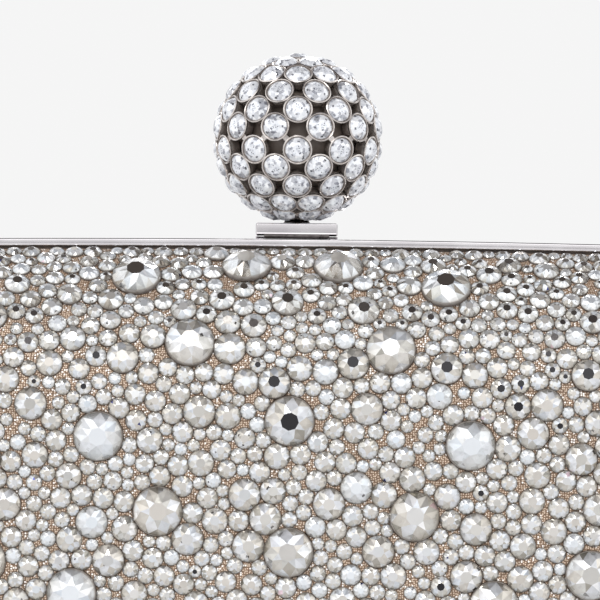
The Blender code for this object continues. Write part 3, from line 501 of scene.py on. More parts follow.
def fill_bare_spots(points, radii, weight, x, z):
    """Sets the largest size that fits into each of these spots that has been left bare."""
    spots = lay_points(x, z)
    inset = inset_of(x, z)
    for spot, depth_in in zip(spots, inset):
        room = np.min(np.linalg.norm(points - spot, axis=1) - radii)
        for radius in STONE_SIZES[1:]:
            if room > radius * FILLING_SQUEEZE and depth_in > least_inset(radius):
                points = np.vstack((points, spot))
                radii = np.append(radii, radius)
                weight = np.append(weight, 1.0)
                break
    return points, radii, weight


def edge_row(dice):
    """A row of small stones laid edge to edge along the frame."""
    reach = PILLOW_TILT * PILLOW_RADIUS - EDGE_ROW_RADIUS
    loop = np.array(outline(PANEL_INSET - PILLOW_RADIUS * math.sin(reach / PILLOW_RADIUS)))
    lengths = np.linalg.norm(np.roll(loop, -1, axis=0) - loop, axis=1)
    along = np.concatenate(((0,), np.cumsum(lengths)))
    loop = np.vstack((loop, loop[:1]))
    radii = []
    stops = []
    spot = 0.0
    while spot < along[-1] - EDGE_ROW_RADIUS:
        radius = dice.choice(STONE_SIZES[-3:])
        radii.append(radius)
        stops.append(spot + radius)
        spot += 2 * radius + STONE_GAP
    return np.interp(stops, along, loop[:, 0]), np.interp(stops, along, loop[:, 1]), np.array(radii)


def lay_stones():
    """Places, radii and normals of every stone on the front half."""
    dice = np.random.default_rng(7)
    spots = [(x, z, LARGE_STONE_RADIUS) for x, z in LARGE_STONE_SHARES]
    spots += [(x, z, MEDIUM_STONE_RADIUS) for x, z in MEDIUM_STONE_SHARES]
    held_x = np.array([x * HALF_WIDTH for x, _, _ in spots])
    held_z = np.array([HALF_HEIGHT * (1 + z) for _, z, _ in spots])
    held_radii = np.array([radius for _, _, radius in spots])
    row_x, row_z, row_radii = edge_row(dice)
    near = np.hypot(row_x[:, None] - held_x, row_z[:, None] - held_z) < LARGE_STONE_RADIUS
    free = ~near.any(axis=1)
    row_x, row_z, row_radii = row_x[free], row_z[free], row_radii[free]
    x, z, area = pillow_samples(dice)
    tilt = np.arcsin((PANEL_INSET - inset_of(x, z)) / PILLOW_RADIUS)
    steep = np.clip(tilt / PILLOW_TILT, 0, 1)
    odds = np.array(FLAT_ODDS) + (np.array(STEEP_ODDS) - np.array(FLAT_ODDS)) * steep[:, None]
    pick = (dice.random(len(x))[:, None] > np.cumsum(odds, axis=1)).sum(axis=1)
    radii = np.array(STONE_SIZES)[np.minimum(pick, len(STONE_SIZES) - 1)]
    room = CROWDING * area - math.pi * ((held_radii**2).sum() + (row_radii**2).sum())
    count = int(np.searchsorted(np.cumsum(math.pi * radii**2), room))
    all_x = np.concatenate((held_x, row_x, x[:count]))
    points = lay_points(all_x, np.concatenate((held_z, row_z, z[:count])))
    held_weight = np.where(held_radii < LARGE_STONE_RADIUS, MEDIUM_WEIGHT, 0)
    weight = np.concatenate((held_weight, np.full(len(row_x), EDGE_ROW_WEIGHT), np.ones(count)))
    radii = np.concatenate((held_radii, row_radii, radii[:count]))
    points = settle(points, radii, weight, SETTLING_ROUNDS)
    for turn in range(FILLING_TURNS):
        points, radii, weight = without_crowded(points, radii, weight)
        spare = slice(count + turn * SPARE_SPOTS, count + (turn + 1) * SPARE_SPOTS)
        points, radii, weight = fill_bare_spots(points, radii, weight, x[spare], z[spare])
        points = settle(points, radii, weight, FILLING_ROUNDS)
    return points, radii, pillow_normals(points[:, 0], points[:, 2])


def stone_moods(x, normals):
    """For each stone a chance tone, and whether its table is dark and whether it is white all over."""
    dice = np.random.default_rng(11)
    count = len(normals)
    tilt = np.degrees(np.arccos(np.abs(normals[:, 1])))
    # Painted dark reflections: a table is more often dark the more its stone tilts from facing ahead, and
    # with x.
    dark_odds = np.interp(tilt, DARK_TILTS, DARK_ODDS) * np.interp(x, DARK_PLACES, DARK_FACTORS)
    dark = dice.random(count) < dark_odds
    white = (dice.random(count) < WHITE_ODDS) & ~dark
    large = np.arange(count) < len(LARGE_STONE_SHARES)
    dark = np.where(large, np.isin(np.arange(count), LARGE_DARK_STONES), dark)
    white = np.where(large, np.isin(np.arange(count), LARGE_WHITE_STONES), white)
    return {"stone": dice.random(count), "dark": dark.astype(float), "white": white.astype(float)}


def cut_stone(name, rings, side_zone):
    """A cut stone of radius 1 with a table, stars, kites and paired girdle facets.

    The four rings are (radius, height, sides, turn), from the foot up. The attribute zone tells the facets
    apart for the material, and local keeps each point's place in its own stone.
    """
    mesh_data = bmesh.new()
    zone = mesh_data.faces.layers.float.new("zone")
    layers = []
    for radius, height, sides, turn in rings:
        layers.append([])
        for i in range(sides):
            angle = 2 * math.pi * (i + turn) / sides
            point = (radius * math.cos(angle), radius * math.sin(angle), height)
            layers[-1].append(mesh_data.verts.new(point))
    foot, girdle, middle, table = layers

    def facet(kind, *corners):
        mesh_data.faces.new(corners)[zone] = kind

    for i in range(16):
        facet(side_zone, foot[i], foot[(i + 1) % 16], girdle[(i + 1) % 16], girdle[i])
    for i in range(8):
        before, after = middle[i - 1], middle[i]
        tip = girdle[2 * i]
        facet(2, table[i], before, tip, after)
        facet(3, table[i], after, table[(i + 1) % 8])
        facet(1, after, tip, girdle[2 * i + 1])
        facet(1, after, girdle[2 * i + 1], girdle[(2 * i + 2) % 16])
    facet(4, *table)
    facet(0, *reversed(foot))
    return stone_object(mesh_data, name)


def stone_object(mesh_data, name):
    """An object to set on points, which remembers each point's place in it as the attribute local."""
    mesh = mesh_named(name, mesh_data)
    local = mesh.attributes.new("local", "FLOAT_VECTOR", "POINT")
    for vertex in mesh.vertices:
        local.data[vertex.index].vector = vertex.co
    return add_object(name, mesh)


def setting_tree(name):
    """Geometry nodes that set one shape on every point, facing out, with a chance lean and a free spin."""
    tree = bpy.data.node_groups.new(name, "GeometryNodeTree")
    tree.interface.new_socket("Geometry", in_out="OUTPUT", socket_type="NodeSocketGeometry")
    for label, kind in (
        ("Points", "NodeSocketGeometry"), ("Shape", "NodeSocketObject"), ("Lean", "NodeSocketFloat"),
        ("Spin", "NodeSocketFloat"), ("Seed", "NodeSocketInt"), ("Material", "NodeSocketMaterial"),
    ):
        tree.interface.new_socket(label, in_out="INPUT", socket_type=kind)
    given = tree.nodes.new("NodeGroupInput").outputs

    def named(label, data_type):
        node = place_node(tree, "GeometryNodeInputNamedAttribute", label, data_type=data_type)
        return node.outputs["Attribute"]

    facing = place_node(tree, "FunctionNodeAlignRotationToVector", axis="Z")
    tree.links.new(named("facing", "FLOAT_VECTOR"), facing.inputs["Vector"])
    least = place_node(tree, "ShaderNodeCombineXYZ")
    most = place_node(tree, "ShaderNodeCombineXYZ")
    for limit, sign in ((least, -1), (most, 1)):
        lean = number(tree, "MULTIPLY", given["Lean"], sign)
        spin = number(tree, "MULTIPLY", given["Spin"], sign)
        for axis, source in zip(("X", "Y", "Z"), (lean, lean, spin)):
            tree.links.new(source, limit.inputs[axis])
    chance = place_node(tree, "FunctionNodeRandomValue", data_type="FLOAT_VECTOR")
    tree.links.new(least.outputs[0], chance.inputs[0])
    tree.links.new(most.outputs[0], chance.inputs[1])
    tree.links.new(given["Seed"], chance.inputs["Seed"])
    twist = place_node(tree, "FunctionNodeEulerToRotation", chance.outputs[0])
    turn = place_node(tree, "FunctionNodeRotateRotation", facing.outputs[0], twist.outputs[0],
                      rotation_space="LOCAL")
    shape = place_node(tree, "GeometryNodeObjectInfo", given["Shape"])
    spread = place_node(tree, "GeometryNodeInstanceOnPoints")
    tree.links.new(given["Points"], spread.inputs["Points"])
    tree.links.new(shape.outputs["Geometry"], spread.inputs["Instance"])
    tree.links.new(turn.outputs[0], spread.inputs["Rotation"])
    tree.links.new(named("size", "FLOAT"), spread.inputs["Scale"])
    plain = place_node(tree, "GeometryNodeRealizeInstances", spread.outputs[0])
    roll = place_node(tree, "FunctionNodeRandomValue", data_type="FLOAT")
    tree.links.new(tree.nodes.new("GeometryNodeInputIndex").outputs[0], roll.inputs["ID"])
    tree.links.new(number(tree, "ADD", given["Seed"], 2), roll.inputs["Seed"])
    store = place_node(tree, "GeometryNodeStoreNamedAttribute", plain.outputs[0],
                       data_type="FLOAT", domain="FACE")
    store.inputs["Name"].default_value = "facet"
    tree.links.new(roll.outputs[1], store.inputs["Value"])
    painted = place_node(tree, "GeometryNodeSetMaterial", store.outputs[0])
    tree.links.new(given["Material"], painted.inputs["Material"])
    end = tree.nodes.new("NodeGroupOutput")
    tree.links.new(painted.outputs[0], end.inputs[0])
    return tree


def set_on_points(name, tree, shape, points, normals, sizes, lean, spin, seed, material, marks=None):
    """Runs the setting tree over these points and keeps the result as a plain mesh.

    The points may carry marks, which their shapes keep as attributes.
    """
    mesh = bpy.data.meshes.new(name)
    mesh.from_pydata([tuple(point) for point in points], [], [])
    facing = mesh.attributes.new("facing", "FLOAT_VECTOR", "POINT")
    facing.data.foreach_set("vector", np.ravel(normals).astype("f"))
    for label, values in {"size": sizes, **(marks or {})}.items():
        mesh.attributes.new(label, "FLOAT", "POINT").data.foreach_set("value", np.ravel(values).astype("f"))
    seat = add_object(name + "_seats", mesh)
    modifier = seat.modifiers.new("setting", "NODES")
    modifier.node_group = tree
    values = {"Shape": shape, "Lean": lean, "Spin": spin, "Seed": seed, "Material": material}
    for item in tree.interface.items_tree:
        if item.in_out == "INPUT" and item.name in values:
            modifier[item.identifier] = values[item.name]
    graph = bpy.context.evaluated_depsgraph_get()
    made = bpy.data.meshes.new_from_object(seat.evaluated_get(graph), depsgraph=graph)
    made.name = name
    bpy.data.objects.remove(seat)
    if material.name not in made.materials:
        made.materials.append(material)
    return add_object(name, made)


def attribute_node(tree, label):
    return place_node(tree, "ShaderNodeAttribute", attribute_name=label, attribute_type="GEOMETRY")


def attribute_value(tree, label):
    return attribute_node(tree, label).outputs["Fac"]


def attribute_parts(tree, label):
    """The x, y and z of a vector attribute."""
    return place_node(tree, "ShaderNodeSeparateXYZ", attribute_node(tree, label).outputs["Vector"]).outputs


def scaled(tree, source, factor, plus):
    """The source times the factor, plus a value or another source."""
    return number(tree, "ADD", number(tree, "MULTIPLY", source, factor), plus)


def stone_wedges(tree, wedges, rings):
    """Chance tones of each stone, by wedge about its middle and by ring, and how far out the point lies."""
    x, y, _ = attribute_parts(tree, "local")
    square = number(tree, "ADD", number(tree, "MULTIPLY", x, x), number(tree, "MULTIPLY", y, y))
    out = number(tree, "SQRT", square)
    ring = number(tree, "FLOOR", number(tree, "MULTIPLY", out, rings))
    angle = number(tree, "DIVIDE", number(tree, "ARCTAN2", y, x), 2 * math.pi / wedges)
    half_turn = scaled(tree, ring, 0.5, 0.5)
    wedge = number(tree, "FLOOR", number(tree, "ADD", angle, half_turn))
    spot = place_node(tree, "ShaderNodeCombineXYZ", wedge, ring, attribute_value(tree, "stone"))
    noise = place_node(tree, "ShaderNodeTexWhiteNoise", spot.outputs[0], noise_dimensions="3D")
    return noise.outputs["Value"], out


def foiled_crystal():
    """Clear cut glass foiled behind, whose facets throw back tones from near black to white.

    Stones that face ahead are mild and even, with a few black tables and a few that are white all over.
    Those on the steep rim of the pillow have strong contrast from wedge to wedge. All these tones are
    painted reflections in the colour, and each stone darkens as painted shade towards its rim and its glued
    foot.
    """
    material, shader = principled("foiled_crystal", (0.6, 0.58, 0.55), 0.5, 0.2)
    tree = material.node_tree
    zone = attribute_value(tree, "zone")
    stone = attribute_value(tree, "stone")
    facet = attribute_value(tree, "facet")
    ahead = number(tree, "ABSOLUTE", attribute_parts(tree, "facing")[1])
    # Painted reflection: tones run from mild on stones facing ahead to strong contrast on the steep rim.
    steep = rescaled(tree, ahead, 0.97, 0.75, 0.0, 1.0)
    sector, out = stone_wedges(tree, 8, 0.0)
    flecks, _ = stone_wedges(tree, 20, 7.0)
    mild = colour_steps(tree, facet, (
        (0.00, (0.34, 0.32, 0.28)), (0.10, (0.57, 0.54, 0.485)), (0.45, (0.67, 0.645, 0.60)),
        (0.66, (0.675, 0.695, 0.73)), (0.90, (0.74, 0.755, 0.775)), (1.00, (0.92, 0.92, 0.92)),
    ))
    wedge_tone = scaled(tree, sector, 0.72, number(tree, "MULTIPLY", facet, 0.28))
    strong = colour_steps(tree, wedge_tone, (
        (0.10, (0.13, 0.11, 0.09)), (0.28, (0.30, 0.27, 0.225)), (0.34, (0.53, 0.515, 0.475)),
        (0.57, (0.67, 0.705, 0.745)), (0.72, (0.86, 0.87, 0.88)), (0.92, (1, 1, 1)),
    ))
    crown = blend_colours(tree, steep, mild, strong)
    mottled = colour_steps(tree, flecks, (
        (0.00, (0.30, 0.285, 0.265)), (0.16, (0.62, 0.605, 0.575)), (0.45, (0.90, 0.89, 0.875)),
        (0.75, (1, 1, 1)), (1.00, (1.3, 1.3, 1.3)),
    ))
    on_rim = number(tree, "LESS_THAN", zone, 1.5)
    calm = scaled(tree, steep, -0.75, 1.0)
    mottle = number(tree, "MULTIPLY", scaled(tree, on_rim, 0.74, 0.16), calm)
    whiteness = number(tree, "MULTIPLY", attribute_value(tree, "white"), 0.62)
    crown = blend_colours(tree, whiteness, crown, (0.76, 0.79, 0.82, 1))
    crown = blend_colours(tree, mottle, crown, times(tree, crown, mottled))
    half_steep = scaled(tree, steep, 2.0, -1.0)
    between = number(tree, "SUBTRACT", 1.0, number(tree, "ABSOLUTE", half_steep))
    is_fleck = number(tree, "LESS_THAN", flecks, scaled(tree, between, 0.022, 0.003))
    crown = blend_colours(tree, is_fleck, crown, (0.055, 0.048, 0.043, 1))
    table = colour_steps(tree, stone, (
        (0.00, (0.58, 0.545, 0.495)), (0.60, (0.64, 0.615, 0.575)), (1.00, (0.67, 0.68, 0.69)),
    ))
    table = blend_colours(tree, attribute_value(tree, "white"), table, (0.74, 0.77, 0.80, 1))
    # Painted dark reflection: dark tables are near black facing ahead and brown-grey when steep.
    black = colour_steps(tree, steep, ((0.0, (0.010, 0.009, 0.012)), (1.0, (0.125, 0.105, 0.09))))
    table = blend_colours(tree, attribute_value(tree, "dark"), table, black)
    on_table = number(tree, "GREATER_THAN", zone, 3.5)
    colour = blend_colours(tree, on_table, crown, table)
    # Painted shade: each stone's colour darkens towards its rim.
    edge = colour_steps(tree, out, (
        (0.68, (1, 1, 1)), (0.82, (0.89, 0.88, 0.865)), (0.94, (0.74, 0.725, 0.70)),
        (0.99, (0.46, 0.415, 0.37)),
    ))
    colour = times(tree, colour, edge)
    chance = number(tree, "FRACT", number(tree, "MULTIPLY", facet, 37.0))
    tint = colour_steps(tree, chance, (
        (0.00, (0.93, 0.965, 1.0)), (0.25, (0.97, 0.99, 1.0)), (0.40, (1, 1, 1)),
    ))
    tint = blend_colours(tree, number(tree, "LESS_THAN", chance, 0.0006), tint, (0.06, 0.08, 0.34, 1))
    tint = blend_colours(tree, number(tree, "GREATER_THAN", chance, 0.9994), tint, (0.95, 0.74, 0.80, 1))
    colour = times(tree, colour, tint)
    # Glue round each stone's foot, dark as painted shade for the stone's contact shadow, darkest at the
    # fabric.
    on_glue_and_shade = number(tree, "LESS_THAN", zone, 0.5)
    up_the_bed = number(tree, "MULTIPLY", number(tree, "SUBTRACT", BED_RADIUS, out), 1 / (BED_RADIUS - 1))
    glue_and_contact_shade = colour_steps(tree, up_the_bed, (
        (0.0, (0.040, 0.027, 0.019)), (0.50, (0.075, 0.055, 0.042)), (1.0, (0.22, 0.20, 0.18)),
    ))
    colour = blend_colours(tree, on_glue_and_shade, colour, glue_and_contact_shade)
    tree.links.new(colour, shader.inputs["Base Color"])
    shine = number(tree, "MULTIPLY", number(tree, "SUBTRACT", 1.0, on_glue_and_shade), 0.62)
    tree.links.new(shine, shader.inputs["Metallic"])
    dull = scaled(tree, flecks, 0.14, 0.10)
    tree.links.new(dull, shader.inputs["Roughness"])
    shader.inputs["Coat Weight"].default_value = 0.45
    shader.inputs["Coat Roughness"].default_value = 0.02
    return material


crystal = foiled_crystal()
stone_shape = cut_stone("flat_back_stone", FLAT_BACK_RINGS, 0)
gem_tree = setting_tree("stone_setting")
stone_points, stone_radii, stone_normals = lay_stones()
moods = stone_moods(stone_points[:, 0], stone_normals)
is_large = stone_radii > LARGE_FROM
is_small = stone_radii < MEDIUM_FROM
groups = (("large", is_large), ("medium", ~is_large & ~is_small), ("small", is_small))
for word, side in HALVES:
    about = np.array((-side, -side, 1.0))
    for seed, (size_word, chosen) in enumerate(groups):
        piece = set_on_points(
            f"{word}_{size_word}_crystals", gem_tree, stone_shape, stone_points[chosen] * about,
            stone_normals[chosen] * about, stone_radii[chosen], STONE_LEAN, math.pi,
            10 * seed + side, crystal, {label: values[chosen] for label, values in moods.items()},
        )
        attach(piece, word + "_half")
        if size_word == "large":
            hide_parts(word + "_cover")
bpy.data.objects.remove(stone_shape)


# ---- Satin linings ----
# Nude satin glued inside each former, with its edge turned in behind the frame's flange. Each half has one
# piece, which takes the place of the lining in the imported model.
LINING_FACE = -0.0026
SATIN_TURN_IN = 0.0006


def nude_satin():
    material, shader = principled("nude_satin", (0.55, 0.42, 0.33), 0, 0.34)
    tree = material.node_tree
    pattern = cloth_pattern(tree)
    warp = place_node(tree, "ShaderNodeTexWave", pattern, 2600, 0.4, wave_type="BANDS",
                      bands_direction="DIAGONAL")
    drift = place_node(tree, "ShaderNodeTexNoise", pattern, None, 60, 2)
    colour = colour_steps(tree, drift.outputs[0], ((0.3, (0.53, 0.405, 0.315)), (0.7, (0.57, 0.44, 0.345))))
    tree.links.new(colour, shader.inputs["Base Color"])
    shader.inputs["Anisotropic"].default_value = 0.5
    shader.inputs["Sheen Weight"].default_value = 0.5
    shader.inputs["Sheen Roughness"].default_value = 0.3
    height = scaled(tree, warp.outputs[1], 0.3, drift.outputs[0])
    roughen(tree, shader, height, 0.35, 0.0001)
    return material


satin = nude_satin()
for word, side in HALVES:
    lining = cloth_over_pillow(word + "_satin", side, LINING_FACE, SATIN_TURN_IN, satin)
    lining.data.flip_normals()
    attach(lining, word + "_half")
    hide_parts(word + "_lining")


# ---- Frames ----
# Two polished rings, silver plated, one on the rim of each half. Each has a lip that shows outside, slightly
# rounded on its faces, and a flange inside that holds the rims of fabric and satin.
LIP_BEVEL = 0.00014
LIP_SWELL = 0.000022
EDGE_CHAMFER = 0.00014
EDGE_FACET = 0.00015
EDGE_LEAN = 0.00004
EDGE_HOLD = 0.00001
CORNER_ROUNDING = 4
FLANGE_FACE = 0.0012
FLANGE_END = LIP_HEIGHT + 0.0034
HINGE_CENTRES = (-0.055, 0.055)
HINGE_LENGTH = 0.016
HINGE_GAP = 0.0002
KNUCKLE_RADIUS = 0.00105
LEAF_THICKNESS = 0.0005
LEAF_TOP = LIP_HEIGHT + KNUCKLE_RADIUS + 0.0024
OVERRUN = 0.001
GLUE_AND_SHADE_FACE = 0.0032
GLUE_AND_SHADE_CLEARANCE = 0.00003


def silver_plate():
    """Bright plate with faint polishing lines and a slow cloud of wear."""
    material, shader = principled("silver_plate", (0.66, 0.64, 0.655), 1, 0.12)
    tree = material.node_tree
    place = own_coordinates(tree)
    cloud = place_node(tree, "ShaderNodeTexNoise", place, None, 120, 3)
    colour = colour_steps(tree, cloud.outputs[0], ((0.3, (0.60, 0.575, 0.59)), (0.7, (0.70, 0.68, 0.69))))
    tree.links.new(colour, shader.inputs["Base Color"])
    stretched = place_node(tree, "ShaderNodeMapping", place)
    stretched.inputs["Scale"].default_value = (60, 2400, 2400)
    lines = place_node(tree, "ShaderNodeTexNoise", stretched.outputs[0], None, 1, 2)
    rough = rescaled(tree, cloud.outputs[0], 0.3, 0.7, 0.08, 0.17)
    tree.links.new(rough, shader.inputs["Roughness"])
    roughen(tree, shader, lines.outputs[0], 0.12, 0.00002)
    return material


def rounded_corner(inset, depth, start):
    steps = range(CORNER_ROUNDING + 1)
    angles = [math.radians(start - 90 * step / CORNER_ROUNDING) for step in steps]
    return [(inset + LIP_BEVEL * math.cos(a), depth + LIP_BEVEL * math.sin(a)) for a in angles]


def lip_section():
    """(inset, depth) round the ring's section.

    It has a chamfered outer edge, rounded corners and a faintly swollen face.
    """
    points = rounded_corner(LIP_BEVEL, PARTING_FACE + LIP_BEVEL, -90)
    facet_end = EDGE_CHAMFER + EDGE_FACET
    points += [
        (-LIP_SWELL, (PARTING_FACE + FRAME_DEPTH) / 2), (0, FRAME_DEPTH - EDGE_LEAN - EDGE_CHAMFER),
        (EDGE_CHAMFER, FRAME_DEPTH - EDGE_LEAN), (facet_end, FRAME_DEPTH),
        (facet_end + EDGE_HOLD, FRAME_DEPTH),
    ]
    for share in (0.25, 0.5, 0.75):
        inset_there = facet_end + (LIP_HEIGHT - LIP_BEVEL - facet_end) * share
        points.append((inset_there, FRAME_DEPTH + LIP_SWELL * (1 - (2 * share - 1) ** 2)))
    points += rounded_corner(LIP_HEIGHT - LIP_BEVEL, FRAME_DEPTH - LIP_BEVEL, 90)
    points += [(LIP_HEIGHT, FLANGE_FACE), (FLANGE_END, FLANGE_FACE), (FLANGE_END, PARTING_FACE)]
    return points


def add_block(mesh_data, low, high):
    low, high = Vector(low), Vector(high)
    place = Matrix.Translation((low + high) / 2) @ Matrix.Diagonal((*(high - low), 1))
    bmesh.ops.create_cube(mesh_data, size=1, matrix=place)


def cut_away(piece, mesh_data):
    """Cuts this closed mesh out of the piece for good."""
    cutter = piece_from(turn_outwards(mesh_data), "cutter", piece.data.materials[0])
    modifier = piece.modifiers.new("cut", "BOOLEAN")
    modifier.operation = "DIFFERENCE"
    modifier.solver = "EXACT"
    modifier.object = cutter
    keep_modifiers(piece)
    bpy.data.objects.remove(cutter)


def keep_modifiers(piece):
    """Puts the modifiers' result into the piece's own mesh."""
    graph = bpy.context.evaluated_depsgraph_get()
    result = bpy.data.meshes.new_from_object(piece.evaluated_get(graph), depsgraph=graph)
    piece.modifiers.clear()
    piece.data = result


def hinge_pockets(depth, low_z, high_z):
    """Room for both hinges, this deep to either side of the parting line."""
    mesh_data = bmesh.new()
    half = HINGE_LENGTH / 2 + HINGE_GAP
    for centre in HINGE_CENTRES:
        add_block(mesh_data, (centre - half, -depth, low_z), (centre + half, depth, high_z))
    return mesh_data


def parting_groove():
    reach = LIP_HEIGHT + OVERRUN
    section = (
        (-PARTING_FACE - reach, LIP_HEIGHT - reach), (PARTING_FACE + reach, LIP_HEIGHT - reach),
        (PARTING_FACE, LIP_HEIGHT), (-PARTING_FACE, LIP_HEIGHT),
    )
    end = HALF_WIDTH + OVERRUN
    return mesh_from([[(x, y, z) for y, z in section] for x in (-end, end)], capped=True)


# Brown glue fills the foot of the groove between lip and fabric. Its dark colour is partly painted
# shade, for the shadow that falls under the lip.
glue_and_painted_shade, _, _ = clouded(
    "brown_glue_and_painted_shade", (0.035, 0.022, 0.015), 0, 0.45, (700, 3), (0.5, 0.0002),
    ((0.35, (0.040, 0.026, 0.019)), (0.65, (0.10, 0.070, 0.052))),
)
glue_and_shade_foot = FLANGE_FACE + GLUE_AND_SHADE_CLEARANCE
glue_and_shade_section = (
    (LIP_HEIGHT + GLUE_AND_SHADE_CLEARANCE, glue_and_shade_foot), (EDGE_INSET, glue_and_shade_foot),
    (EDGE_INSET, GLUE_AND_SHADE_FACE), (LIP_HEIGHT + GLUE_AND_SHADE_CLEARANCE, GLUE_AND_SHADE_FACE - GLUE_AND_SHADE_CLEARANCE),
)
# Painted shade: a dark bead in the groove under each lip.
for word, side in HALVES:
    loops = [[(x, side * depth, z) for x, z in outline(inset)] for inset, depth in glue_and_shade_section]
    bead = piece_from(turn_outwards(mesh_from(loops, closed=True)), word + "_glue_line", glue_and_painted_shade, 40)
    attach(bead, word + "_half")


silver = silver_plate()
ring_section = lip_section()
knuckle_room = KNUCKLE_RADIUS + HINGE_GAP
leaf_room = PARTING_FACE + LEAF_THICKNESS + HINGE_GAP
for word, side in HALVES:
    loops = [[(x, side * depth, z) for x, z in outline(inset)] for inset, depth in ring_section]
    ring = piece_from(turn_outwards(mesh_from(loops, closed=True)), word + "_frame_ring", silver)
    cut_away(ring, parting_groove())
    cut_away(ring, hinge_pockets(knuckle_room, -OVERRUN, LIP_HEIGHT + knuckle_room))
    cut_away(ring, hinge_pockets(leaf_room, LIP_HEIGHT, LEAF_TOP + HINGE_GAP))
    smooth(ring.data, 25)
    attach(ring, word + "_half")
    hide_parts(word + "_frame")


# ---- Hinges ----
# Two small plated hinges let into the bottom rail. Each is a pair of leaves whose knuckles turn on a dark
# steel pin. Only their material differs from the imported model.
nickel, nickel_shader, nickel_cloud = clouded(
    "dark_nickel", (0.16, 0.145, 0.14), 1, 0.3, (700, 4), (0.2, 0.00002),
    ((0.3, (0.10, 0.09, 0.088)), (0.7, (0.22, 0.20, 0.195))),
)
nickel_rough = rescaled(nickel.node_tree, nickel_cloud, 0.3, 0.7, 0.2, 0.42)
nickel.node_tree.links.new(nickel_rough, nickel_shader.inputs["Roughness"])
for word in ("left", "right"):
    finish_node("rear_hinge_leaf_" + word, silver)
    finish_node("front_hinge_leaf_" + word, silver)
    finish_node("hinge_pin_" + word, nickel)


# ---- Clasp ----
# A plated bar turns on a pin between two ears riveted to the rear frame. A dark blade let into its underside
# hooks over the keeper plate on the front frame, and a torsion spring holds it down.
CLASP_WIDTH = 0.0147
LEVER_BOTTOM = 0.10258
LEVER_TOP = 0.10488
LEVER_FRONT = -0.0043
LEVER_BACK = 0.0042
LEVER_ROUNDING = 0.00024
ROUNDING_STEPS = 8
END_SHARE = 0.3
FOOT_HEIGHT = 0.00036
FOOT_UNDERCUT = 0.0005
BEAD_HEIGHT = 0.0002
BEAD_LEAN = 0.00005
PAINTED_SHADE_REACH = 0.0054


def clasp_bar():
    """The bar: a block with rounded edges, a fine bead low on each long side, and an undercut foot."""
    half, length = (LEVER_TOP - LEVER_BOTTOM) / 2, CLASP_WIDTH / 2
    middle_y, middle_z = (LEVER_FRONT + LEVER_BACK) / 2, (LEVER_TOP + LEVER_BOTTOM) / 2
    reach = (LEVER_BACK - LEVER_FRONT) / 2
    side = []
    for step in range(ROUNDING_STEPS + 1):
        angle = math.radians(90 - 90 * step / ROUNDING_STEPS)
        y = reach + LEVER_ROUNDING * (math.cos(angle) - 1)
        side.append((y, half + LEVER_ROUNDING * (math.sin(angle) - 1)))
    side += [
        (reach, FOOT_HEIGHT + BEAD_HEIGHT - half), (reach + BEAD_LEAN, FOOT_HEIGHT - half),
        (reach + BEAD_LEAN - FOOT_UNDERCUT, -half),
    ]
    section = side + [(-y, z) for y, z in reversed(side)]
    near_end = length - END_SHARE * LEVER_ROUNDING
    ends = ((length, 1.0), (near_end, END_SHARE), (length - LEVER_ROUNDING, 0.0))
    loops = []
    for end in (-1, 1):
        for x, share in (ends if end < 0 else reversed(ends)):
            shrink = 1 - share * LEVER_ROUNDING / half
            loops.append([(end * x, middle_y + y * shrink, middle_z + z * shrink) for y, z in section])
    return mesh_from(loops, capped=True)


def keeper_plate_with_painted_shade():
    """Silver plate with painted shade along the middle, for the shadow under the bar: dark, dull, not
    metallic.
    """
    material, shader = principled("keeper_plate_with_painted_shade", (0.66, 0.64, 0.655), 1, 0.15)
    tree = material.node_tree
    place = own_coordinates(tree)
    shade_and_bump_noise = place_node(tree, "ShaderNodeTexNoise", place, None, 800, 3)
    across = number(tree, "ABSOLUTE", place_node(tree, "ShaderNodeSeparateXYZ", place).outputs[0])
    edge = scaled(tree, shade_and_bump_noise.outputs[0], 0.0003, PAINTED_SHADE_REACH)
    # Painted shade: the plate is dark within this reach of its middle, under the bar.
    black = number(tree, "LESS_THAN", across, edge)
    painted_shade_tones = colour_steps(tree, shade_and_bump_noise.outputs[0], (
        (0.3, (0.012, 0.010, 0.009)), (0.7, (0.028, 0.024, 0.022)),
    ))
    tree.links.new(blend_colours(tree, black, (0.66, 0.64, 0.655, 1), painted_shade_tones), shader.inputs["Base Color"])
    tree.links.new(number(tree, "SUBTRACT", 1.0, black), shader.inputs["Metallic"])
    tree.links.new(scaled(tree, black, 0.45, 0.15), shader.inputs["Roughness"])
    roughen(tree, shader, shade_and_bump_noise.outputs[0], 0.15, 0.00002)
    return material


bar = piece_from(turn_outwards(clasp_bar()), "clasp_bar", silver, 12)
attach(bar, "clasp")
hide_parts("clasp_lever")
for name in (
    "clasp_bracket", "bracket_rivet_left", "bracket_rivet_right", "keeper_rivet_left",
    "keeper_rivet_right",
):
    finish_node(name, silver)
finish_node("clasp_keeper", keeper_plate_with_painted_shade())
for name in ("clasp_pin", "clasp_spring", "clasp_hook"):
    finish_node(name, nickel)


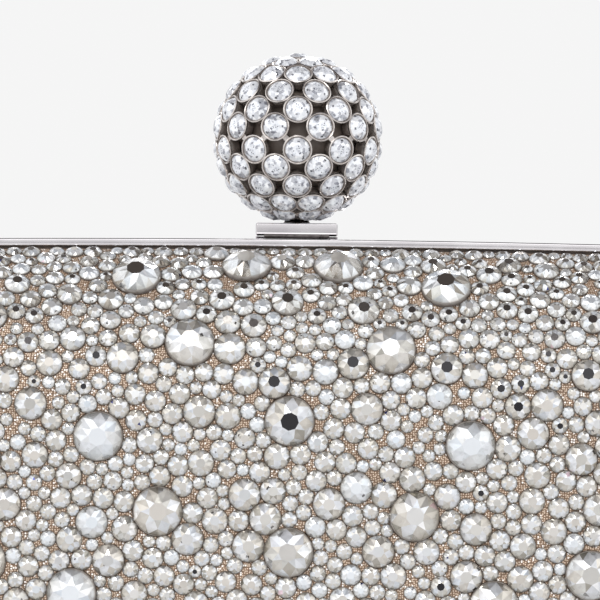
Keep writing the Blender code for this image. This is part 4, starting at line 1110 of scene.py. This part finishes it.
# ---- Ball ----
# An openwork ball of round plated cups joined rim to rim, with a clear cut stone in each, round a dark resin
# core. A flared dark collar and a screw hold it on the bar.
BALL_CENTRE = Vector((0, -0.0003, 0.12012))
STONE_SEAT = 0.01442
CUP_RIM = 0.01464
CUP_FOOT = 0.01240
CUP_RADIUS = 0.00264
CUP_WALL = 0.00032
CORE_RADIUS = 0.0119
ROW_CUPS = 11
ROWS = (-53, -35.7, -21, -8.2, 8.2, 21, 35.7, 53)
POLAR_CUPS = 7
POLAR_LATITUDE = 69.7
BALL_NOD = math.radians(1)
NEIGHBOUR_REACH = 1.12
BRIDGE_REACH = 0.0012
BRIDGE_WIDTH = 0.0010
BRIDGE_HEIGHT = CUP_RIM - CUP_FOOT - 0.00012
STONE_CLEARANCE = 0.00008
GEM_LEAN = math.radians(1.5)
BRILLIANT_RINGS = ((0.97, -0.10, 16, 0), (1.0, 0.0, 16, 0), (0.74, 0.25, 8, 0.5), (0.50, 0.40, 8, 0))


def ball_direction(latitude, longitude):
    latitude, longitude = math.radians(latitude), math.radians(longitude)
    level = math.cos(latitude)
    straight = Vector((level * math.sin(longitude), -level * math.cos(longitude), math.sin(latitude)))
    return Matrix.Rotation(BALL_NOD, 3, "X") @ straight


def cup_directions():
    found = []
    pitch = 360 / ROW_CUPS
    for row, latitude in enumerate(ROWS):
        shift = 0.5 if row % 2 == 0 else 0.0
        found += [ball_direction(latitude, pitch * (i + shift)) for i in range(ROW_CUPS)]
    for latitude in (POLAR_LATITUDE, -POLAR_LATITUDE):
        found += [ball_direction(latitude, 360 * (i + 0.5) / POLAR_CUPS) for i in range(POLAR_CUPS)]
    found.append(Vector((0, 0, 1)))
    return found


def spun_shape(profile, sides):
    """A closed turned shape about Z from (radius, height) points."""
    loops = []
    for i in range(sides):
        angle = 2 * math.pi * i / sides
        across, along = math.cos(angle), math.sin(angle)
        loops.append([(radius * across, radius * along, height) for radius, height in profile])
    return turn_outwards(mesh_from(loops, closed=True))


def cup_plate():
    """The same plate as the frame, duller and darker inside each cup and low on its outside, between the
    cups.
    """
    material, shader = principled("cup_plate", (0.44, 0.41, 0.40), 1, 0.24)
    tree = material.node_tree
    cloud = place_node(tree, "ShaderNodeTexNoise", own_coordinates(tree), None, 420, 3)
    colour = colour_steps(tree, cloud.outputs[0], ((0.3, (0.42, 0.385, 0.36)), (0.7, (0.66, 0.62, 0.595))))
    local = attribute_node(tree, "local").outputs["Vector"]
    flat = place_node(tree, "ShaderNodeVectorMath", local, (1, 1, 0), operation="MULTIPLY")
    out = place_node(tree, "ShaderNodeVectorMath", flat.outputs[0], operation="LENGTH").outputs["Value"]
    throat = rescaled(tree, out, CUP_RADIUS - CUP_WALL, CUP_RADIUS - CUP_WALL * 0.6, 0.0, 1.0)
    height = place_node(tree, "ShaderNodeSeparateXYZ", local).outputs[2]
    rim = CUP_RIM - CUP_FOOT
    flank = rescaled(tree, height, rim * 0.62, rim * 0.90, 0.0, 1.0)
    upper_rim = number(tree, "MULTIPLY", throat, flank)
    colour = blend_colours(tree, upper_rim, (0.22, 0.185, 0.165, 1), colour)
    tree.links.new(colour, shader.inputs["Base Color"])
    tree.links.new(scaled(tree, upper_rim, 0.75, 0.25), shader.inputs["Metallic"])
    rough = rescaled(tree, cloud.outputs[0], 0.3, 0.7, 0.16, 0.32)
    tree.links.new(rough, shader.inputs["Roughness"])
    roughen(tree, shader, cloud.outputs[0], 0.15, 0.00003)
    return material


def cup_shape():
    """One cup: a short tube that flares to a rounded rim, with the ledge that the stone sits on."""
    rim = CUP_RIM - CUP_FOOT
    inner = CUP_RADIUS - CUP_WALL
    profile = (
        (CUP_RADIUS * 0.78, 0), (CUP_RADIUS * 0.90, rim * 0.45), (CUP_RADIUS, rim * 0.80),
        (CUP_RADIUS, rim * 0.95), (CUP_RADIUS - CUP_WALL / 2, rim), (inner, rim * 0.97),
        (inner, rim * 0.90), (inner * 0.93, rim * 0.86), (inner * 0.85, rim * 0.70), (CUP_RADIUS * 0.62, 0),
    )
    return stone_object(spun_shape(profile, 24), "ball_cup_shape")


def bridge_places(directions):
    """Midpoints between neighbouring cups, and the directions between them."""
    places = []
    near = 2 * CUP_RADIUS * NEIGHBOUR_REACH / CUP_RIM
    for i, first in enumerate(directions):
        for second in directions[i + 1:]:
            if (first - second).length < near:
                places.append(((first + second).normalized(), (second - first).normalized()))
    return places


directions = cup_directions()
centre = np.array(BALL_CENTRE)
outward = np.array([tuple(direction) for direction in directions])
cup_mesh = cup_shape()
cup_metal = cup_plate()
cups = set_on_points(
    "ball_cups", gem_tree, cup_mesh, centre + outward * CUP_FOOT, outward, np.ones(len(outward)),
    0, 0, 3, cup_metal,
)
smooth(cups.data, 40)
bpy.data.objects.remove(cup_mesh)
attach(cups, "clasp")
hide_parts("ball_cage")

webs = bmesh.new()
for middle_way, along in bridge_places(directions):
    across = middle_way.cross(along).normalized()
    turn = Matrix((along, across, middle_way)).transposed().to_4x4()
    place = Matrix.Translation(BALL_CENTRE + middle_way * CUP_FOOT) @ turn
    made = bmesh.ops.create_cube(webs, size=1)
    for vertex in made["verts"]:
        x, y, z = vertex.co
        vertex.co = place @ Vector((x * BRIDGE_REACH, y * BRIDGE_WIDTH, (z + 0.5) * BRIDGE_HEIGHT))
web_piece = piece_from(turn_outwards(webs), "ball_webs", cup_metal, 40)
crest = web_piece.data.attributes.new("local", "FLOAT_VECTOR", "POINT")
crest.data.foreach_set("vector", (CUP_RADIUS, 0, CUP_RIM - CUP_FOOT) * len(web_piece.data.vertices))
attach(web_piece, "clasp")


def clear_brilliant():
    """Bright clear stones: mostly white, with a few thin dark facets, under a clear polished face."""
    material, shader = principled("clear_brilliant", (0.8, 0.8, 0.8), 0.3, 0.1)
    tree = material.node_tree
    zone = attribute_value(tree, "zone")
    facet = attribute_value(tree, "facet")
    crown = colour_steps(tree, facet, (
        (0.00, (0.34, 0.34, 0.36)), (0.12, (0.60, 0.61, 0.64)), (0.28, (0.84, 0.85, 0.87)),
        (0.70, (0.86, 0.875, 0.89)), (1.00, (0.92, 0.92, 0.92)),
    ))
    flecks, _ = stone_wedges(tree, 22, 8.0)
    inner = colour_steps(tree, flecks, (
        (0.00, (0.08, 0.08, 0.09)), (0.05, (0.26, 0.26, 0.29)), (0.12, (0.74, 0.75, 0.78)),
        (0.30, (0.92, 0.93, 0.95)), (1.00, (1.0, 1.0, 1.0)),
    ))
    on_table = number(tree, "GREATER_THAN", zone, 3.5)
    colour = times(tree, blend_colours(tree, on_table, crown, (0.80, 0.815, 0.84, 1)), inner)
    patches, _ = stone_wedges(tree, 14, 5.0)
    shade = colour_steps(tree, patches, (
        (0.00, (0.40, 0.40, 0.43)), (0.12, (0.62, 0.63, 0.66)), (0.26, (0.88, 0.89, 0.91)),
        (0.45, (1.0, 1.0, 1.0)),
    ))
    tree.links.new(times(tree, colour, shade), shader.inputs["Base Color"])
    shader.inputs["Coat Weight"].default_value = 0.35
    shader.inputs["Coat Roughness"].default_value = 0.02
    return material


brilliant = clear_brilliant()
brilliant_mesh = cut_stone("brilliant_shape", BRILLIANT_RINGS, 1)
stone_size = CUP_RADIUS - CUP_WALL - STONE_CLEARANCE
gems = set_on_points(
    "ball_brilliants", gem_tree, brilliant_mesh, centre + outward * STONE_SEAT, outward,
    np.full(len(outward), stone_size), GEM_LEAN, math.pi, 5, brilliant,
)
bpy.data.objects.remove(brilliant_mesh)
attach(gems, "clasp")

resin, _, _ = clouded(
    "dark_resin", (0.10, 0.085, 0.075), 0, 0.45, (500, 3), (0.15, 0.00005),
    ((0.3, (0.14, 0.11, 0.09)), (0.7, (0.21, 0.17, 0.145))),
)
sphere = bmesh.new()
core_place = Matrix.Translation(BALL_CENTRE)
bmesh.ops.create_uvsphere(sphere, u_segments=48, v_segments=32, radius=CORE_RADIUS, matrix=core_place)
core = piece_from(turn_outwards(sphere), "ball_heart", resin, 60)
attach(core, "clasp")
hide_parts("ball_core")

brass, _, _ = grained("plain_brass", (0.72, 0.52, 0.25), 1, 0.3, (900, 3), (0.2, 0.00002))
finish_node("ball_insert", brass)
finish_node("ball_screw", nickel)

# The collar is turned: it flares in a smooth curve from the ball down to the bar.
COLLAR_LIFT = 0.00008
COLLAR_BORE = 0.0010
COLLAR_WAIST = 0.0016
COLLAR_FLARE = 0.0008
COLLAR_CURVE = 2.2
COLLAR_STEPS = 12


def collar():
    foot = LEVER_TOP + COLLAR_LIFT
    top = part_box("ball_collar")[1].z
    rise = top - foot
    profile = [(COLLAR_BORE, foot)]
    for step in range(COLLAR_STEPS + 1):
        share = step / COLLAR_STEPS
        radius = COLLAR_WAIST + COLLAR_FLARE * (1 - share) ** COLLAR_CURVE
        profile.append((radius, foot + rise * share))
    profile.append((COLLAR_BORE, top))
    mesh_data = spun_shape(profile, 48)
    bmesh.ops.translate(mesh_data, verts=mesh_data.verts[:], vec=(0, BALL_CENTRE.y, 0))
    return mesh_data


neck = piece_from(collar(), "ball_neck", nickel, 35)
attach(neck, "clasp")
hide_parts("ball_collar")


# ---- Studio ----
# A plain pale floor and a white tent of soft light: bright at the sides, dim straight overhead, the same
# behind as in front. The floor has a soft hollow in front of the hinge line, so that the front half can lie
# open in it. The camera looks level at the top middle of the front.
BACKDROP = 0.915
CAMERA_PLACE = (0.00072, -1.2, 0.0911)
CAMERA_ROLL = math.radians(0.6)
CAMERA_LENS = 400
FLOOR_REACH = 3.0
HOLLOW_DEPTH = 0.0212
HOLLOW_SIDE = (0.105, 0.32)
HOLLOW_BACK = (0.003, -0.018)
HOLLOW_FRONT = (0.13, 0.45)
LAMP_WIDTH = 0.20
LAMP_POWER = 2.8
LAMP_AIM = Vector((0, 0, 0.06))

paper, _, _ = grained("pale_paper", (0.86, 0.86, 0.86), 0, 0.9, (300, 3), (0.05, 0.0005))


def wave_down(place, start, end):
    """One up to the start and nought past the end, with a cosine between."""
    share = min(max((place - start) / (end - start), 0), 1)
    return (1 + math.cos(math.pi * share)) / 2


def steps_between(start, end, count):
    return [start + (end - start) * i / count for i in range(count + 1)]


side_steps = steps_between(*HOLLOW_SIDE, 20) + [FLOOR_REACH]
floor_x = [-x for x in reversed(side_steps)] + side_steps
floor_y = [-FLOOR_REACH] + [-y for y in reversed(steps_between(*HOLLOW_FRONT, 24))]
floor_y += [-y for y in steps_between(*HOLLOW_BACK, 32)] + [FLOOR_REACH]
stage_mesh = bmesh.new()
grid = []
for x in floor_x:
    grid.append([])
    for y in floor_y:
        depth = wave_down(abs(x), *HOLLOW_SIDE) * wave_down(-y, *HOLLOW_FRONT)
        depth *= 1 - wave_down(-y, HOLLOW_BACK[1], HOLLOW_BACK[0])
        grid[-1].append(stage_mesh.verts.new((x, y, -HOLLOW_DEPTH * depth)))
for i in range(len(floor_x) - 1):
    for j in range(len(floor_y) - 1):
        stage_mesh.faces.new((grid[i][j], grid[i + 1][j], grid[i + 1][j + 1], grid[i][j + 1]))
floor = piece_from(stage_mesh, "floor", paper, 40)


def soft_tent():
    world = bpy.data.worlds.new("soft_tent")
    world.use_nodes = True
    tree = world.node_tree
    direction = place_node(tree, "ShaderNodeTexCoord").outputs["Generated"]
    parts = place_node(tree, "ShaderNodeSeparateXYZ", direction)
    bands = colour_steps(tree, scaled(tree, parts.outputs[2], 0.5, 0.5), (
        (0.00, (0.55, 0.55, 0.55)), (0.46, (0.85, 0.85, 0.86)), (0.54, (0.95, 0.95, 0.96)),
        (0.64, (1.45, 1.45, 1.45)), (0.80, (1.35, 1.35, 1.36)), (0.88, (0.92, 0.91, 0.93)),
        (0.94, (0.22, 0.21, 0.23)), (1.00, (0.06, 0.055, 0.065)),
    ))
    patches = place_node(tree, "ShaderNodeTexNoise", direction, None, 2.4, 1)
    panels = colour_steps(tree, patches.outputs[0], (
        (0.34, (0.45, 0.45, 0.46)), (0.5, (1, 1, 1)), (0.66, (1.5, 1.5, 1.5)),
    ))
    light = times(tree, bands, panels)
    seen = place_node(tree, "ShaderNodeLightPath").outputs["Is Camera Ray"]
    light = blend_colours(tree, seen, light, (BACKDROP, BACKDROP, BACKDROP, 1))
    background = tree.nodes["Background"]
    tree.links.new(light, background.inputs["Color"])
    return world


bpy.context.scene.world = soft_tent()


def soft_box(name, place):
    """A square lamp that no camera sees, aimed at the bag."""
    light = bpy.data.lights.new(name, "AREA")
    light.size = LAMP_WIDTH
    light.energy = LAMP_POWER
    lamp = add_object(name, light)
    lamp.location = place
    lamp.rotation_euler = (LAMP_AIM - Vector(place)).to_track_quat("-Z", "Y").to_euler()
    lamp.visible_camera = False


soft_box("key_front", (-0.16, -0.80, 0.82))
soft_box("key_rear", (0.16, 0.80, 0.82))

camera_data = bpy.data.cameras.new("camera")
camera_data.sensor_width = 36
camera_data.lens = CAMERA_LENS
camera_data.clip_start = 0.05
camera_data.clip_end = 20
camera = add_object("camera", camera_data)
camera.location = CAMERA_PLACE
turn = Matrix.Rotation(math.radians(90), 3, "X") @ Matrix.Rotation(CAMERA_ROLL, 3, "Z")
camera.rotation_euler = turn.to_euler()
bpy.context.scene.camera = camera
bpy.context.scene.view_settings.view_transform = "Standard"
